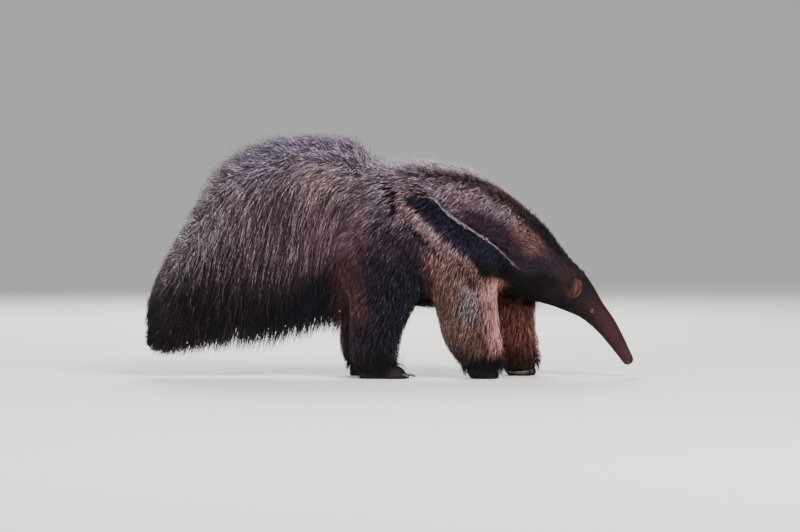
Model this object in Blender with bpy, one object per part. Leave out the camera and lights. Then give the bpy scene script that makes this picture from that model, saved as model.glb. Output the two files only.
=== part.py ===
"""Giant anteater at life size, as a museum shows it: walking, the snout just above the ground.

Frame: metres, +X towards the snout, +Y to the animal's left, +Z up. The origin is on the floor, under the
middle of the whole length. The animal rests on the flat soles of its four feet.
"""

import math
import random

import bmesh
import bpy
from mathutils import Matrix, Vector
from mathutils.bvhtree import BVHTree

# Driving dimensions of the whole
GAP = 0.0003  # left between pieces that meet face to face
TRUNK_SIDES = 16
LEG_SIDES = 12
RINGS_PER_SPAN = 2  # rings for each pair of stations where the form shows bare
LEG_RINGS_PER_SPAN = 1  # and under the locks of the legs
COAT_SHARE = 0.40  # how far the core reaches from the skin to the tips of the coat
INNER_FACE = 0.0185  # how near to the middle plane a leg's coat comes
INNER_COAT = 0.014  # and how deep it is there
LEG_COAT_BESIDE = 0.8  # the depth of a leg's coat on its outer side, as a share of that ahead and behind
SOLVER = "MANIFOLD"  # EXACT leaves edges with more than two faces where one coat skims another
SHARP = math.radians(50)  # edges that turn by more than this stay sharp

# The trunk from rump to snout: x, z, half height, half width, fall of its axis in degrees,
# then the depth of the coat above, beside and below
TRUNK = (
    (-0.138, 0.496, 0.058, 0.046, 0, 0.030, 0.030, 0.030),
    (-0.106, 0.496, 0.113, 0.080, 0, 0.032, 0.030, 0.034),
    (-0.048, 0.493, 0.152, 0.108, 0, 0.035, 0.030, 0.042),
    (0.035, 0.470, 0.176, 0.122, 0, 0.042, 0.030, 0.052),
    (0.131, 0.458, 0.186, 0.126, 2, 0.048, 0.030, 0.056),
    (0.221, 0.448, 0.182, 0.122, 7, 0.040, 0.028, 0.044),
    (0.304, 0.429, 0.156, 0.108, 18, 0.029, 0.022, 0.026),
    (0.378, 0.394, 0.131, 0.088, 32, 0.022, 0.014, 0.012),
    (0.445, 0.349, 0.112, 0.072, 40, 0.021, 0.008, 0.005),
    (0.509, 0.314, 0.090, 0.060, 45, 0.009, 0.004, 0.003),
    (0.569, 0.281, 0.0735, 0.051, 48, 0.002, 0.002, 0.002),
    (0.604, 0.2545, 0.0610, 0.045, 50, 0, 0, 0),
    (0.650, 0.213, 0.0415, 0.036, 54, 0, 0, 0),
    (0.693, 0.166, 0.0330, 0.028, 56, 0, 0, 0),
    (0.725, 0.120, 0.0265, 0.0235, 57, 0, 0, 0),
    (0.747, 0.085, 0.0218, 0.0205, 58, 0, 0, 0),
    (0.765, 0.055, 0.0180, 0.0175, 58, 0, 0, 0),
    (0.7705, 0.0462, 0.0135, 0.0135, 58, 0, 0, 0),
    (0.7732, 0.0419, 0.0070, 0.0070, 58, 0, 0, 0),
)
HEAD_STATION = 10  # the head starts at this station of the trunk
NECK_STATION = 7

# A foreleg from shoulder to knuckles: x, z, half length, half width, depth of the coat
FORELEG = (
    (0.285, 0.450, 0.085, 0.042, 0.020),
    (0.253, 0.365, 0.092, 0.050, 0.028),
    (0.240, 0.285, 0.077, 0.050, 0.034),
    (0.248, 0.214, 0.064, 0.046, 0.041),
    (0.260, 0.150, 0.054, 0.042, 0.047),
    (0.277, 0.099, 0.046, 0.039, 0.037),
    (0.290, 0.061, 0.040, 0.037, 0.022),
    (0.294, 0.036, 0.040, 0.036, 0.014),
)
FORELEG_OUT = 0.082  # from the middle plane to the leg's axis
# How far ahead the left foreleg is at each station
LEFT_FORELEG_STEP = (0.060, 0.110, 0.128, 0.126, 0.122, 0.122, 0.124, 0.124)

# A hind leg from hip to heel, in the same columns
HINDLEG = (
    (-0.030, 0.464, 0.088, 0.036, 0.018),
    (-0.029, 0.368, 0.108, 0.048, 0.032),
    (-0.016, 0.278, 0.082, 0.046, 0.042),
    (-0.028, 0.208, 0.058, 0.042, 0.044),
    (-0.042, 0.144, 0.046, 0.037, 0.042),
    (-0.046, 0.086, 0.044, 0.035, 0.034),
    (-0.040, 0.048, 0.042, 0.034, 0.016),
    (-0.036, 0.028, 0.042, 0.034, 0.008),
)
HINDLEG_OUT = 0.080
LEFT_HINDLEG_STEP = (-0.010, -0.015, -0.025, -0.030, -0.032, -0.032, -0.032, -0.032)

# The plume of the tail, in upright sections from its root back to its end: x, z of the hair's top, z of its
# foot, half thickness, z of the tail's own flesh, from which the hair spreads
PLUME = (
    (-0.055, 0.716, 0.500, 0.034, 0.560),
    (-0.095, 0.752, 0.440, 0.055, 0.566),
    (-0.130, 0.767, 0.300, 0.070, 0.576),
    (-0.218, 0.777, 0.172, 0.084, 0.604),
    (-0.307, 0.777, 0.128, 0.090, 0.600),
    (-0.400, 0.761, 0.106, 0.090, 0.566),
    (-0.493, 0.723, 0.098, 0.086, 0.495),
    (-0.566, 0.662, 0.090, 0.078, 0.410),
    (-0.614, 0.582, 0.082, 0.068, 0.335),
    (-0.662, 0.492, 0.074, 0.056, 0.270),
    (-0.720, 0.381, 0.072, 0.042, 0.215),
    (-0.762, 0.272, 0.088, 0.026, 0.180),
    (-0.774, 0.180, 0.120, 0.010, 0.150),
)
PLUME_CORE = 0.45  # how far the core reaches from the flesh to the tips of the hair
PLUME_CORE_WIDTH = 0.62
PLUME_CORE_END = 10  # the core ends at this section
PLUME_CORE_TAPER = (3, 0.75, 0.60)  # sections over which it thins, by what share in height and in width
PLUME_SIDES = 14

# The cells that part the legs from the trunk: x from, x to, z of the top, distance from the middle plane
FORELEG_CELL = (0.120, 0.495, 0.250, 0.018)
HINDLEG_CELL = (-0.215, 0.100, 0.280, 0.018)
FOREFOOT_TOP = 0.072
HINDFOOT_TOP = 0.060
FAR = 2.0  # larger than the animal, for cutters
LIMBS = (
    ("foreleg", FORELEG, LEFT_FORELEG_STEP, FORELEG_OUT, FORELEG_CELL),
    ("hindleg", HINDLEG, LEFT_HINDLEG_STEP, HINDLEG_OUT, HINDLEG_CELL),
)

# Locks: where the rings of one lie along it, and how wide each is
LOCK_STEPS = (0.0, 0.36, 0.70, 1.0)
LOCK_WIDTHS = (0.60, 1.0, 0.74)
LOCK_DEPTHS = (0.05, 0.52, 0.80, 1.0)  # the share of the coat's depth that it has reached there
LOCK_THICKNESS = 0.0085
LOCK_TRIES = ((0.0, 1.0), (0.15, 1.0), (0.30, 0.85), (0.30, 0.70))  # how far it is lifted, how long
FLOOR_ROOM = 0.006  # the lowest tips stay this far above the floor
OUTWARD_STEP = 0.3  # the share of the coat's depth over which the way out of it is measured
STATION_DRAW = 0.30  # how far a lock stands off its even place, as a share of the room between two
WIDTH_DRAW = 0.10
LENGTH_DRAW = 0.12
TURN_DRAW = 0.06  # radians
LEG_TIP_DRAW = (-0.22, 0.10, 0.02, 0.16)  # stations that a tip is off its place, radians that it turns back
# Depth of a leg's coat, and height about each ring, where no lock of the trunk grows
LEG_ROOM = (0.8, 0.025)
SEED = 5

# Rows of locks on the trunk, each side: turn of the roots and of the tips from the top line, in radians,
# first and last station, number, stations that a lock runs back, width
TRUNK_ROWS = (
    (0.30, 0.68, 1.3, 6.7, 5, 1.15, 0.084),
    (0.80, 1.26, 1.0, 6.3, 5, 1.10, 0.086),
    (1.32, 1.84, 1.5, 6.6, 5, 1.00, 0.084),
    (1.86, 2.38, 2.0, 6.0, 4, 0.90, 0.080),
    (2.48, 2.84, 2.1, 5.2, 3, 0.75, 0.078),
)
CREST = (0.9, 7.3, 10, 1.10, 0.051)  # first and last station, number, stations that a lock runs back, width
NECK_CREST = (7.9, 10.2, 5, 0.80, 0.034)
CREST_ROOT = (0.02, 0.10)  # least and most turn from the top line
CREST_TIP = (0.04, 0.20)
REARMOST = 0.1  # no lock of the trunk runs back past this station

# Rows of locks round a leg: station of the roots and of the tips, turns from straight ahead and outwards
SHOULDER_ROWS = (
    (0.95, 2.15, (0.50, 1.55, 2.60)),
    (1.80, 3.05, (0.15, 1.05, 1.95, 2.85)),
)
FORELEG_ROWS = (
    (2.62, 4.00, (-0.60, 0.20, 0.95, 1.70, 2.45, 3.15)),
    (3.55, 5.10, (-1.20, -0.20, 0.58, 1.33, 2.08, 2.85)),
    (4.55, 6.60, (-0.60, 0.20, 0.95, 1.70, 2.45, 3.15)),
)
THIGH_ROWS = (
    (0.70, 1.75, (0.50, 1.55, 2.60)),
    (1.40, 2.55, (0.15, 1.05, 1.95, 2.85)),
)
HINDLEG_ROWS = (
    (2.20, 3.60, (-0.30, 0.50, 1.30, 2.10, 2.90)),
    (3.20, 4.90, (0.10, 0.90, 1.70, 2.50, 3.25)),
    (4.30, 6.40, (-0.25, 0.50, 1.30, 2.10, 2.90)),
)
LEG_LOCK_WIDTH = 0.062
UPPER_LOCK_WIDTH = 0.076  # on the shoulders and thighs

# Rows of locks on each side of the plume: turn of the roots round the core and of the tips round the hair's
# outline, x of the first and last root, number, sections that a lock runs back, width
PLUME_ROWS = (
    (0.30, 0.14, -0.072, -0.665, 8, 0.95, 0.078),
    (0.78, 0.52, -0.078, -0.660, 7, 1.05, 0.086),
    (1.25, 1.08, -0.090, -0.650, 7, 1.10, 0.088),
    (1.62, 2.10, -0.115, -0.645, 7, 0.80, 0.090),
    (2.10, 2.68, -0.130, -0.640, 7, 0.45, 0.090),
    (2.72, 3.02, -0.140, -0.630, 6, 0.30, 0.092),
)
PLUME_END = ((0.60, 0.80), (1.55, 1.50), (2.50, 2.30))  # turns of the rearmost locks
PLUME_ROOT = 0.70  # how far from the core's middle to its face a root lies
PLUME_STAGGER = 0.10  # every second lock of a row stands out by this share of the half thickness
PLUME_BEND = 1.5  # how late a lock turns from up or down to backwards
PLUME_WAVE = (0.10, 5.5)  # its wave: sections, radians over its length
PLUME_LEAN = 0.15  # how far the ridge of a lock turns up
PLUME_END_LOCK = (0.90, 0.066)  # sections that a rearmost lock ends short of the last one at most, width
PLUME_END_ROOT = 0.9  # sections ahead of the core's end

# Head
EYE_RADIUS = 0.0068
EYE_PLACE = (0.6480, 0.0310, 0.2135)
EAR_PLACE = (0.5970, 0.0455, 0.2812)
EAR_HALF = (0.0140, 0.0100, 0.0290)
EAR_WALL = 0.0028
EAR_TURN = (8, 22, 18)  # degrees about X, Y and Z, on the left side
EAR_OPENING = ((0.003, 0.0035, 0), (0.55, 0.80, 0.22))  # a point of the cup's rim, the way that it faces
LID = (0.0098, 0.0062, 0.0022)  # half length, half height, radius of its roll
LID_RINGS = 6
LID_OUT = (0.0030, 0.0028)  # beside the eye's middle at its corners, and how much more between
MOUTH_LENGTH = 0.034
MOUTH_DROP = 0.0040  # below the middle of the snout
MOUTH_SLIT = 0.0012
MOUTH_START = 0.004  # from the snout's end to the first ring of the lips
LIP_RADIUS = 0.0019
LIP_RINGS = 5
LIP_SUNK = 0.35  # how much of its radius is sunk in the snout
NOSTRIL = (0.0050, 0.0021, 0.0032)  # half depth, half width, half height
NOSTRIL_PLACE = (0.0052, 0.0046)  # beside and above the middle of the snout's end

# Feet
FOREFOOT = (0.297, 0.050, 0.040)  # x of its middle, half length, half width
FOREFOOT_HEIGHT = 0.088
FOREFOOT_BALL = (0.42, 0.62)  # height of its middle, half height, as shares of the whole
KNUCKLE_PLACE = (0.012, 0.85)  # behind the front face, height as a share of the radius
KNUCKLES = ((-0.027, 0.0145), (-0.010, 0.0165), (0.009, 0.0165), (0.026, 0.0145))  # place across, radius
# The claws of a forefoot turn in and back beside its fist: height, length, root radius
FORE_CLAWS = (
    (0.0535, 0.034, 0.0044),
    (0.0375, 0.062, 0.0072),
    (0.0165, 0.068, 0.0085),
    (0.0640, 0.024, 0.0036),
)
FORE_CLAW_START = 38  # degrees from straight ahead
FORE_CLAW_SUNK = 0.010
FORE_CLAW_LIFT = 0.012  # how far the tip stands off the fist
FORE_CLAW_SAG = (0.010, 0.03)  # how far it bends down, and the height below which it bends less
FORE_CLAW_WIDTH = 0.8
HINDFOOT_HEEL = -0.094
HINDFOOT_LENGTH = 0.158
HINDFOOT_HALF_WIDTH = 0.038
HINDFOOT_HEIGHT = 0.075
# Sections from heel to toes: place along, height and half width, as shares of the whole
HINDFOOT_SHAPE = (
    (0.0, 0.35, 0.30),
    (0.12, 0.80, 0.72),
    (0.35, 1.0, 0.85),
    (0.60, 0.72, 0.95),
    (0.80, 0.46, 0.96),
    (0.90, 0.30, 0.80),
)
# Reach of a hind foot above and below its middle, and height of the middle, as shares of its height
HINDFOOT_REACH = (0.90, 0.35, 0.10)
TOE_RADIUS = 0.0098
# The rings of a toe: place from its end, share of the radius
TOE_RINGS = ((-0.055, 0.85), (-0.024, 1.05), (-0.007, 0.95), (0.0, 0.45))
TOE_HEIGHT = 0.80  # of its middle, as a share of the radius
# The toes of a hind foot, from the outer one in: place across, end short of the longest, claw length
TOES = (
    (-0.030, 0.018, 0.017),
    (-0.016, 0.005, 0.023),
    (0.000, 0.0, 0.025),
    (0.016, 0.004, 0.023),
    (0.030, 0.016, 0.017),
)
HIND_CLAW_RADIUS = 0.0050
HIND_CLAW_SUNK = 0.006
# Height of a claw at the root, its rise and its fall to the tip, as shares of the toe's radius
HIND_CLAW_ARC = (1.05, 0.30, 0.65)
HIND_CLAW_SPLAY = 0.10
HIND_CLAW_WIDTH = 0.75
CLAW_TAPER = 0.6
CLAW_SIDES = 5
CLAW_RINGS = 3

# Colour, roughness
COATS = {
    "short_coat": ((0.060, 0.032, 0.024), 0.80),
    "long_coat": ((0.125, 0.085, 0.072), 0.88),
    "tail_coat": ((0.110, 0.078, 0.072), 0.90),
    "leg_coat": ((0.300, 0.165, 0.110), 0.88),
    "dark_coat": ((0.045, 0.032, 0.032), 0.88),
    "ear_skin": ((0.190, 0.085, 0.050), 0.75),
    "foot_skin": ((0.070, 0.048, 0.042), 0.80),
    "claw": ((0.085, 0.065, 0.055), 0.35),
    "eye": ((0.012, 0.009, 0.010), 0.08),
}


def clear_scene():
    for found in list(bpy.data.objects):
        bpy.data.objects.remove(found, do_unlink=True)


def finish_of(slot):
    """The material of a slot, made once."""
    made = bpy.data.materials.get(slot)
    if made:
        return made
    colour, roughness = COATS[slot]
    made = bpy.data.materials.new(slot)
    made.use_nodes = True
    shader = made.node_tree.nodes["Principled BSDF"]
    shader.inputs["Base Color"].default_value = (*colour, 1)
    shader.inputs["Roughness"].default_value = roughness
    shader.inputs["Metallic"].default_value = 0
    return made


def link(name, bm):
    """Turns a bmesh into a named object with its faces pointing out."""
    bmesh.ops.remove_doubles(bm, verts=bm.verts, dist=1e-6)
    bmesh.ops.recalc_face_normals(bm, faces=bm.faces)
    mesh = bpy.data.meshes.new(name)
    bm.to_mesh(mesh)
    bm.free()
    made = bpy.data.objects.new(name, mesh)
    bpy.context.scene.collection.objects.link(made)
    return made


def apply_modifiers(target):
    graph = bpy.context.evaluated_depsgraph_get()
    made = bpy.data.meshes.new_from_object(target.evaluated_get(graph))
    target.modifiers.clear()
    target.data = made


def boolean(target, other, operation):
    """Applies one Boolean to target, and removes the other object."""
    step = target.modifiers.new(operation.lower(), "BOOLEAN")
    step.operation = operation
    step.solver = SOLVER
    step.object = other
    apply_modifiers(target)
    bpy.data.objects.remove(other, do_unlink=True)
    return target


def copy_of(source, name):
    made = bpy.data.objects.new(name, source.data.copy())
    bpy.context.scene.collection.objects.link(made)
    return made


def station_at(table, u):
    """The row of a table at a whole or part station, on a smooth curve through each column."""
    i = min(max(int(math.floor(u)), 0), len(table) - 2)
    t = min(max(u - i, 0.0), 1.0)
    around = (table[max(i - 1, 0)], table[i], table[i + 1], table[min(i + 2, len(table) - 1)])
    return tuple(
        0.5 * (2 * b + (c - a) * t + (2 * a - 5 * b + 4 * c - d) * t**2 + (3 * b - a - 3 * c + d) * t**3)
        for a, b, c, d in zip(*around)
    )


def blend_stations(table, per_span):
    """The rows of a table with more rows between them."""
    return [station_at(table, k / per_span) for k in range((len(table) - 1) * per_span + 1)]


def oval_point(centre, up, side, reaches, turn):
    """A point of an oval section that reaches above, below, outside and inside its centre."""
    above, below, outside, inside = reaches
    rise = math.cos(turn)
    spread = math.sin(turn)
    rise *= above if rise > 0 else below
    spread *= outside if spread > 0 else inside
    return centre + up * rise + side * spread


def ring(centre, up, side, reaches, sides):
    return [oval_point(centre, up, side, reaches, 2 * math.pi * k / sides) for k in range(sides)]


def loft(name, rings):
    """A closed body in triangles through rings of equal numbers of points: a grown copy bends alike."""
    bm = bmesh.new()
    loops = [[bm.verts.new(p) for p in points] for points in rings]
    count = len(loops[0])
    for near, far in zip(loops, loops[1:]):
        for k in range(count):
            after = (k + 1) % count
            bm.faces.new((near[k], near[after], far[after]))
            bm.faces.new((near[k], far[after], far[k]))
    bm.faces.new(loops[0])
    bm.faces.new(reversed(loops[-1]))
    return link(name, bm)


def trunk_section(row, share, grow=0.0):
    """Centre, up, side and reaches of the trunk at a row of its table."""
    x, z, half_height, half_width, fall, top, beside, under = row
    fall = math.radians(fall)
    wide = half_width + share * beside + grow
    reaches = (half_height + share * top + grow, half_height + share * under + grow, wide, wide)
    return Vector((x, 0, z)), Vector((math.sin(fall), 0, math.cos(fall))), Vector((0, 1, 0)), reaches


def trunk_rows():
    """The rows the trunk is lofted through: one for each station under the locks, more on neck and head."""
    covered = [TRUNK[k] for k in range(NECK_STATION)]
    return covered + blend_stations(TRUNK, RINGS_PER_SPAN)[NECK_STATION * RINGS_PER_SPAN:]


def trunk(share, grow=0.0):
    """Rump, torso, neck and head in one."""
    rows = trunk_rows()
    rows[0] = (rows[0][0] - grow, *rows[0][1:])
    return loft("trunk", [ring(*trunk_section(row, share, grow), TRUNK_SIDES) for row in rows])


def leg_rows(table, steps, left):
    return [(row[0] + (step if left else 0), *row[1:]) for row, step in zip(table, steps)]


def leg_section(row, out, left, share, grow=0.0):
    """Centre, ahead, side and reaches of a leg at a row of its table."""
    x, z, half_length, half_width, coat = row
    sign = 1 if left else -1
    long = half_length + share * coat + grow
    wide = half_width + share * coat * LEG_COAT_BESIDE + grow
    inside = min(wide, out - INNER_FACE - INNER_COAT * (1 - share) + grow)
    return Vector((x, sign * out, z)), Vector((1, 0, 0)), Vector((0, sign, 0)), (long, long, wide, inside)


def leg(table, steps, out, left, share, grow=0.0):
    """One leg from inside the trunk down into its foot."""
    rows = blend_stations(leg_rows(table, steps, left), LEG_RINGS_PER_SPAN)
    rows[0] = (rows[0][0], rows[0][1] + grow, *rows[0][2:])
    return loft("leg", [ring(*leg_section(row, out, left, share, grow), LEG_SIDES) for row in rows])


def body(share, grow=0.0):
    """The trunk and the four legs in one surface."""
    whole = trunk(share, grow)
    for _, table, steps, out, _ in LIMBS:
        for left in (True, False):
            boolean(whole, leg(table, steps, out, left, share, grow), "UNION")
    return whole


def plume_point(u, lift, spread):
    """A point of the plume at a part section: lift is 1 at the top of the hair, 0 at the flesh, -1 at the
    foot, and spread is 1 at the left face and -1 at the right one."""
    x, top, foot, half, flesh = station_at(PLUME, u)
    z = flesh + lift * (top - flesh if lift > 0 else flesh - foot)
    return Vector((x, spread * half, z))


def core_reach(u):
    """How far the plume's core reaches, up or down and sideways, as shares: it thins to its end."""
    length, in_height, in_width = PLUME_CORE_TAPER
    ending = max(0.0, u - PLUME_CORE_END + length) / length
    return PLUME_CORE * (1 - in_height * ending**2), PLUME_CORE_WIDTH * (1 - in_width * ending**2)


def plume_core():
    """The flesh of the tail with the dense inner part of its hair."""
    rings = []
    for k in range(PLUME_CORE_END * RINGS_PER_SPAN + 1):
        x, top, foot, half, flesh = station_at(PLUME, k / RINGS_PER_SPAN)
        share, wide = core_reach(k / RINGS_PER_SPAN)
        reaches = (share * (top - flesh), share * (flesh - foot), half * wide, half * wide)
        rings.append(ring(Vector((x, 0, flesh)), Vector((0, 0, 1)), Vector((0, 1, 0)), reaches, PLUME_SIDES))
    return loft("plume", rings)


def block(name, low, high):
    """A box cutter between two corners."""
    bm = bmesh.new()
    bmesh.ops.create_cube(bm, size=1)
    size = Vector(high) - Vector(low)
    bmesh.ops.transform(
        bm, verts=bm.verts,
        matrix=Matrix.Translation((Vector(low) + Vector(high)) / 2) @ Matrix.Diagonal((*size, 1)),
    )
    return link(name, bm)


def side_of_plane(name, station, ahead, grow=0.0):
    """A large block that lies ahead of or behind the trunk's section at a station."""
    x, z, _, _, fall = TRUNK[station][:5]
    cutter = block(name, (grow, -FAR, -FAR), (FAR, FAR, FAR)) if ahead else block(
        name, (-FAR, -FAR, -FAR), (-grow, FAR, FAR)
    )
    turn = Matrix.Rotation(math.radians(fall), 4, "Y")
    cutter.data.transform(Matrix.Translation((x, 0, z)) @ turn)
    return cutter


def leg_cell(cell, left, grow=0.0):
    """The space of one leg under the trunk, grown on each face that meets the trunk."""
    start, end, top, inner = cell
    low, high = sorted(((inner - grow) * (1 if left else -1), FAR * (1 if left else -1)))
    return block("cell", (start - grow, low, -FAR), (end + grow, high, top + grow))


def strand(name, path, wide, thick, across, sides, sharp=True):
    """A tapering body along a path, with oval sections: wide across, thick the other way."""
    rings = []
    for k, point in enumerate(path):
        ahead = path[min(k + 1, len(path) - 1)] - path[max(k - 1, 0)]
        beside = (across - ahead * across.dot(ahead) / ahead.length_squared).normalized()
        over = ahead.cross(beside).normalized()
        rings.append([
            point + beside * wide[k] * math.cos(2 * math.pi * i / sides)
            + over * thick[k] * math.sin(2 * math.pi * i / sides)
            for i in range(sides)
        ])
    bm = bmesh.new()
    loops = [[bm.verts.new(p) for p in points] for points in (rings[:-1] if sharp else rings)]
    for near, far in zip(loops, loops[1:]):
        for k in range(sides):
            after = (k + 1) % sides
            bm.faces.new((near[k], near[after], far[after]))
            bm.faces.new((near[k], far[after], far[k]))
    bm.faces.new(loops[0])
    if sharp:
        tip = bm.verts.new(path[-1])
        for k in range(sides):
            bm.faces.new((loops[-1][k], loops[-1][(k + 1) % sides], tip))
    else:
        bm.faces.new(reversed(loops[-1]))
    return link(name, bm)


def keep_largest(target):
    """Drops every closed surface but the largest."""
    bm = bmesh.new()
    bm.from_mesh(target.data)
    left = set(bm.faces)
    parts = []
    while left:
        found = [left.pop()]
        for face in found:
            for edge in face.edges:
                for other in edge.link_faces:
                    if other in left:
                        left.discard(other)
                        found.append(other)
        parts.append(found)
    parts.sort(key=len)
    for part in parts[:-1]:
        bmesh.ops.delete(bm, geom=part, context="FACES")
    bm.to_mesh(target.data)
    bm.free()
    return target


def lock(path, outward, width, thickness, grow=0.0):
    """One flat lock: three-sided sections along a path, with the ridge outward, that taper to a point."""
    bm = bmesh.new()
    loops = []
    for k, share in enumerate(LOCK_WIDTHS):
        ahead = (path[k + 1] - path[max(k - 1, 0)]).normalized()
        over = (outward[k] - ahead * ahead.dot(outward[k])).normalized()
        beside = ahead.cross(over) * (width * share / 2 + grow)
        low = path[k] - over * grow
        high = path[k] + over * (thickness * share + grow)
        loops.append([bm.verts.new(p) for p in (low - beside, low + beside, high)])
    for near, far in zip(loops, loops[1:]):
        for k in range(3):
            after = (k + 1) % 3
            bm.faces.new((near[k], near[after], far[after]))
            bm.faces.new((near[k], far[after], far[k]))
    tip = bm.verts.new(path[-1] + (path[-1] - path[-2]).normalized() * grow)
    for k in range(3):
        bm.faces.new((loops[-1][k], loops[-1][(k + 1) % 3], tip))
    bm.faces.new(loops[0])
    return bm


def trunk_field(u, turn, depth):
    """A point of the trunk's coat: depth is 0 on the skin and 1 at the tips."""
    return oval_point(*trunk_section(station_at(TRUNK, u), depth), turn)


def leg_field(table, steps, out, left):
    rows = leg_rows(table, steps, left)

    def field(u, turn, depth):
        return oval_point(*leg_section(station_at(rows, u), out, left, depth), turn)

    return field


def field_line(field, root, tip, lift, length):
    """The path of a lock over a part of the body, and the way out of the coat at each point of it."""
    path = []
    outward = []
    for t, depth in zip(LOCK_STEPS, LOCK_DEPTHS):
        t *= length
        u = root[0] + (tip[0] - root[0]) * t
        turn = root[1] + (tip[1] - root[1]) * t
        here = field(u, turn, depth + lift * min(1, 3 * t))
        path.append(here)
        outward.append(field(u, turn, depth + OUTWARD_STEP + lift) - here)
    return path, outward


def plume_line(side, root, tip, lift, length):
    """The path of a lock of the plume: up or down from the core, then back."""
    path = []
    outward = []
    share, wide = core_reach(root[0])
    inner = Vector((share * math.cos(root[1]), wide * math.sin(root[1]))) * PLUME_ROOT
    outer = Vector((math.cos(tip[1]), math.sin(tip[1])))
    for t in LOCK_STEPS:
        t *= length
        wave = PLUME_WAVE[0] * math.sin(PLUME_WAVE[1] * t + root[0])
        u = root[0] + (tip[0] - root[0]) * t**PLUME_BEND + wave
        rise, spread = inner + (outer - inner) * t
        spread += lift * math.sin(math.pi * min(1, t))
        path.append(plume_point(u, rise, side * spread))
        outward.append(Vector((0, side, PLUME_LEAN)))
    return path, outward


def is_clear(bm, trees):
    """Whether a lock touches none of the other nodes and stays above the floor."""
    if min(v.co.z for v in bm.verts) < FLOOR_ROOM:
        return False
    mine = BVHTree.FromBMesh(bm)
    return not any(mine.overlap(tree) for tree in trees)


def set_locks(target, wanted):
    """Fuses a node with its locks. One that would cross another node is lifted or shortened, or left out."""
    trees = []
    for other in bpy.data.objects:
        if other is not target and other.type == "MESH":
            vertices = [v.co for v in other.data.vertices]
            trees.append(BVHTree.FromPolygons(vertices, [tuple(f.vertices) for f in other.data.polygons]))
    group = bpy.data.collections.new("locks")
    bpy.context.scene.collection.children.link(group)
    for line, root, tip, width in wanted:
        for lift, length in LOCK_TRIES:
            path, outward = line(root, tip, lift, length)
            wide = width * length
            if is_clear(lock(path, outward, wide, LOCK_THICKNESS, 2 * GAP), trees):
                made = link("lock", lock(path, outward, wide, LOCK_THICKNESS))
                bpy.context.scene.collection.objects.unlink(made)
                group.objects.link(made)
                break
    fuse = target.modifiers.new("fuse", "BOOLEAN")
    fuse.operation = "UNION"
    fuse.solver = SOLVER
    fuse.operand_type = "COLLECTION"
    fuse.collection = group
    apply_modifiers(target)
    for one in list(group.objects):
        bpy.data.objects.remove(one, do_unlink=True)
    bpy.data.collections.remove(group)
    keep_largest(target)


def vary(draw, value, share):
    return value * draw.uniform(1 - share, 1 + share)


def row_of(first, last, number, draw):
    """Stations of a row, each a little off its even place."""
    step = (last - first) / max(number - 1, 1)
    return [first + step * (k + draw.uniform(0, STATION_DRAW)) for k in range(number)]


def leg_locks(part, left, rows, width, draw):
    _, table, steps, out, _ = next(row for row in LIMBS if row[0] == part)
    field = leg_field(table, steps, out, left)

    def line(root, tip, lift, length):
        return field_line(field, root, tip, lift, length)

    wanted = []
    for start, end, turns in rows:
        for turn in turns:
            along = start + draw.uniform(-LENGTH_DRAW, LENGTH_DRAW)
            root = (along, turn + draw.uniform(-TURN_DRAW, TURN_DRAW))
            tip = (end + draw.uniform(*LEG_TIP_DRAW[:2]), root[1] + draw.uniform(*LEG_TIP_DRAW[2:]))
            wanted.append((line, root, tip, vary(draw, width, WIDTH_DRAW)))
    return wanted


def is_on_leg(point):
    """Whether a point lies inside the form of a leg, where the leg's own locks grow."""
    for _, table, steps, out, _ in LIMBS:
        for left in (True, False):
            for row in blend_stations(leg_rows(table, steps, left), 2):
                centre, _, _, (long, _, wide, _) = leg_section(row, out, left, LEG_ROOM[0])
                if abs(point.z - centre.z) < LEG_ROOM[1]:
                    if ((point.x - centre.x) / long) ** 2 + ((point.y - centre.y) / wide) ** 2 < 1:
                        return True
    return False


def trunk_locks(draw):
    def line(root, tip, lift, length):
        return field_line(trunk_field, root, tip, lift, length)

    wanted = []
    for sign in (1, -1):
        for start, end, first, last, number, back, width in TRUNK_ROWS:
            for u in row_of(first, last, number, draw):
                root = (u, sign * (start + draw.uniform(-TURN_DRAW, TURN_DRAW)))
                reach = max(REARMOST, u - vary(draw, back, LENGTH_DRAW))
                tip = (reach, sign * (end + draw.uniform(-TURN_DRAW, TURN_DRAW)))
                if not is_on_leg(trunk_field((root[0] + tip[0]) / 2, (root[1] + tip[1]) / 2, LEG_ROOM[0])):
                    wanted.append((line, root, tip, vary(draw, width, WIDTH_DRAW)))
    return wanted


def crest_locks(row, draw):
    """The mane along the back, leaning backwards, its locks to the left and right by turns."""
    def line(root, tip, lift, length):
        return field_line(trunk_field, root, tip, lift, length)

    first, last, number, back, width = row
    wanted = []
    for k, u in enumerate(row_of(first, last, number, draw)):
        sign = 1 if k % 2 else -1
        root = (u, sign * draw.uniform(*CREST_ROOT))
        tip = (max(REARMOST, u - vary(draw, back, LENGTH_DRAW)), sign * draw.uniform(*CREST_TIP))
        wanted.append((line, root, tip, vary(draw, width, WIDTH_DRAW)))
    return wanted


def plume_section_at(x):
    """The part section of the plume that stands at x."""
    for k, (near, far) in enumerate(zip(PLUME, PLUME[1:])):
        if near[0] >= x >= far[0]:
            return k + (near[0] - x) / (near[0] - far[0])
    raise ValueError("no section of the plume stands there")


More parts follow.
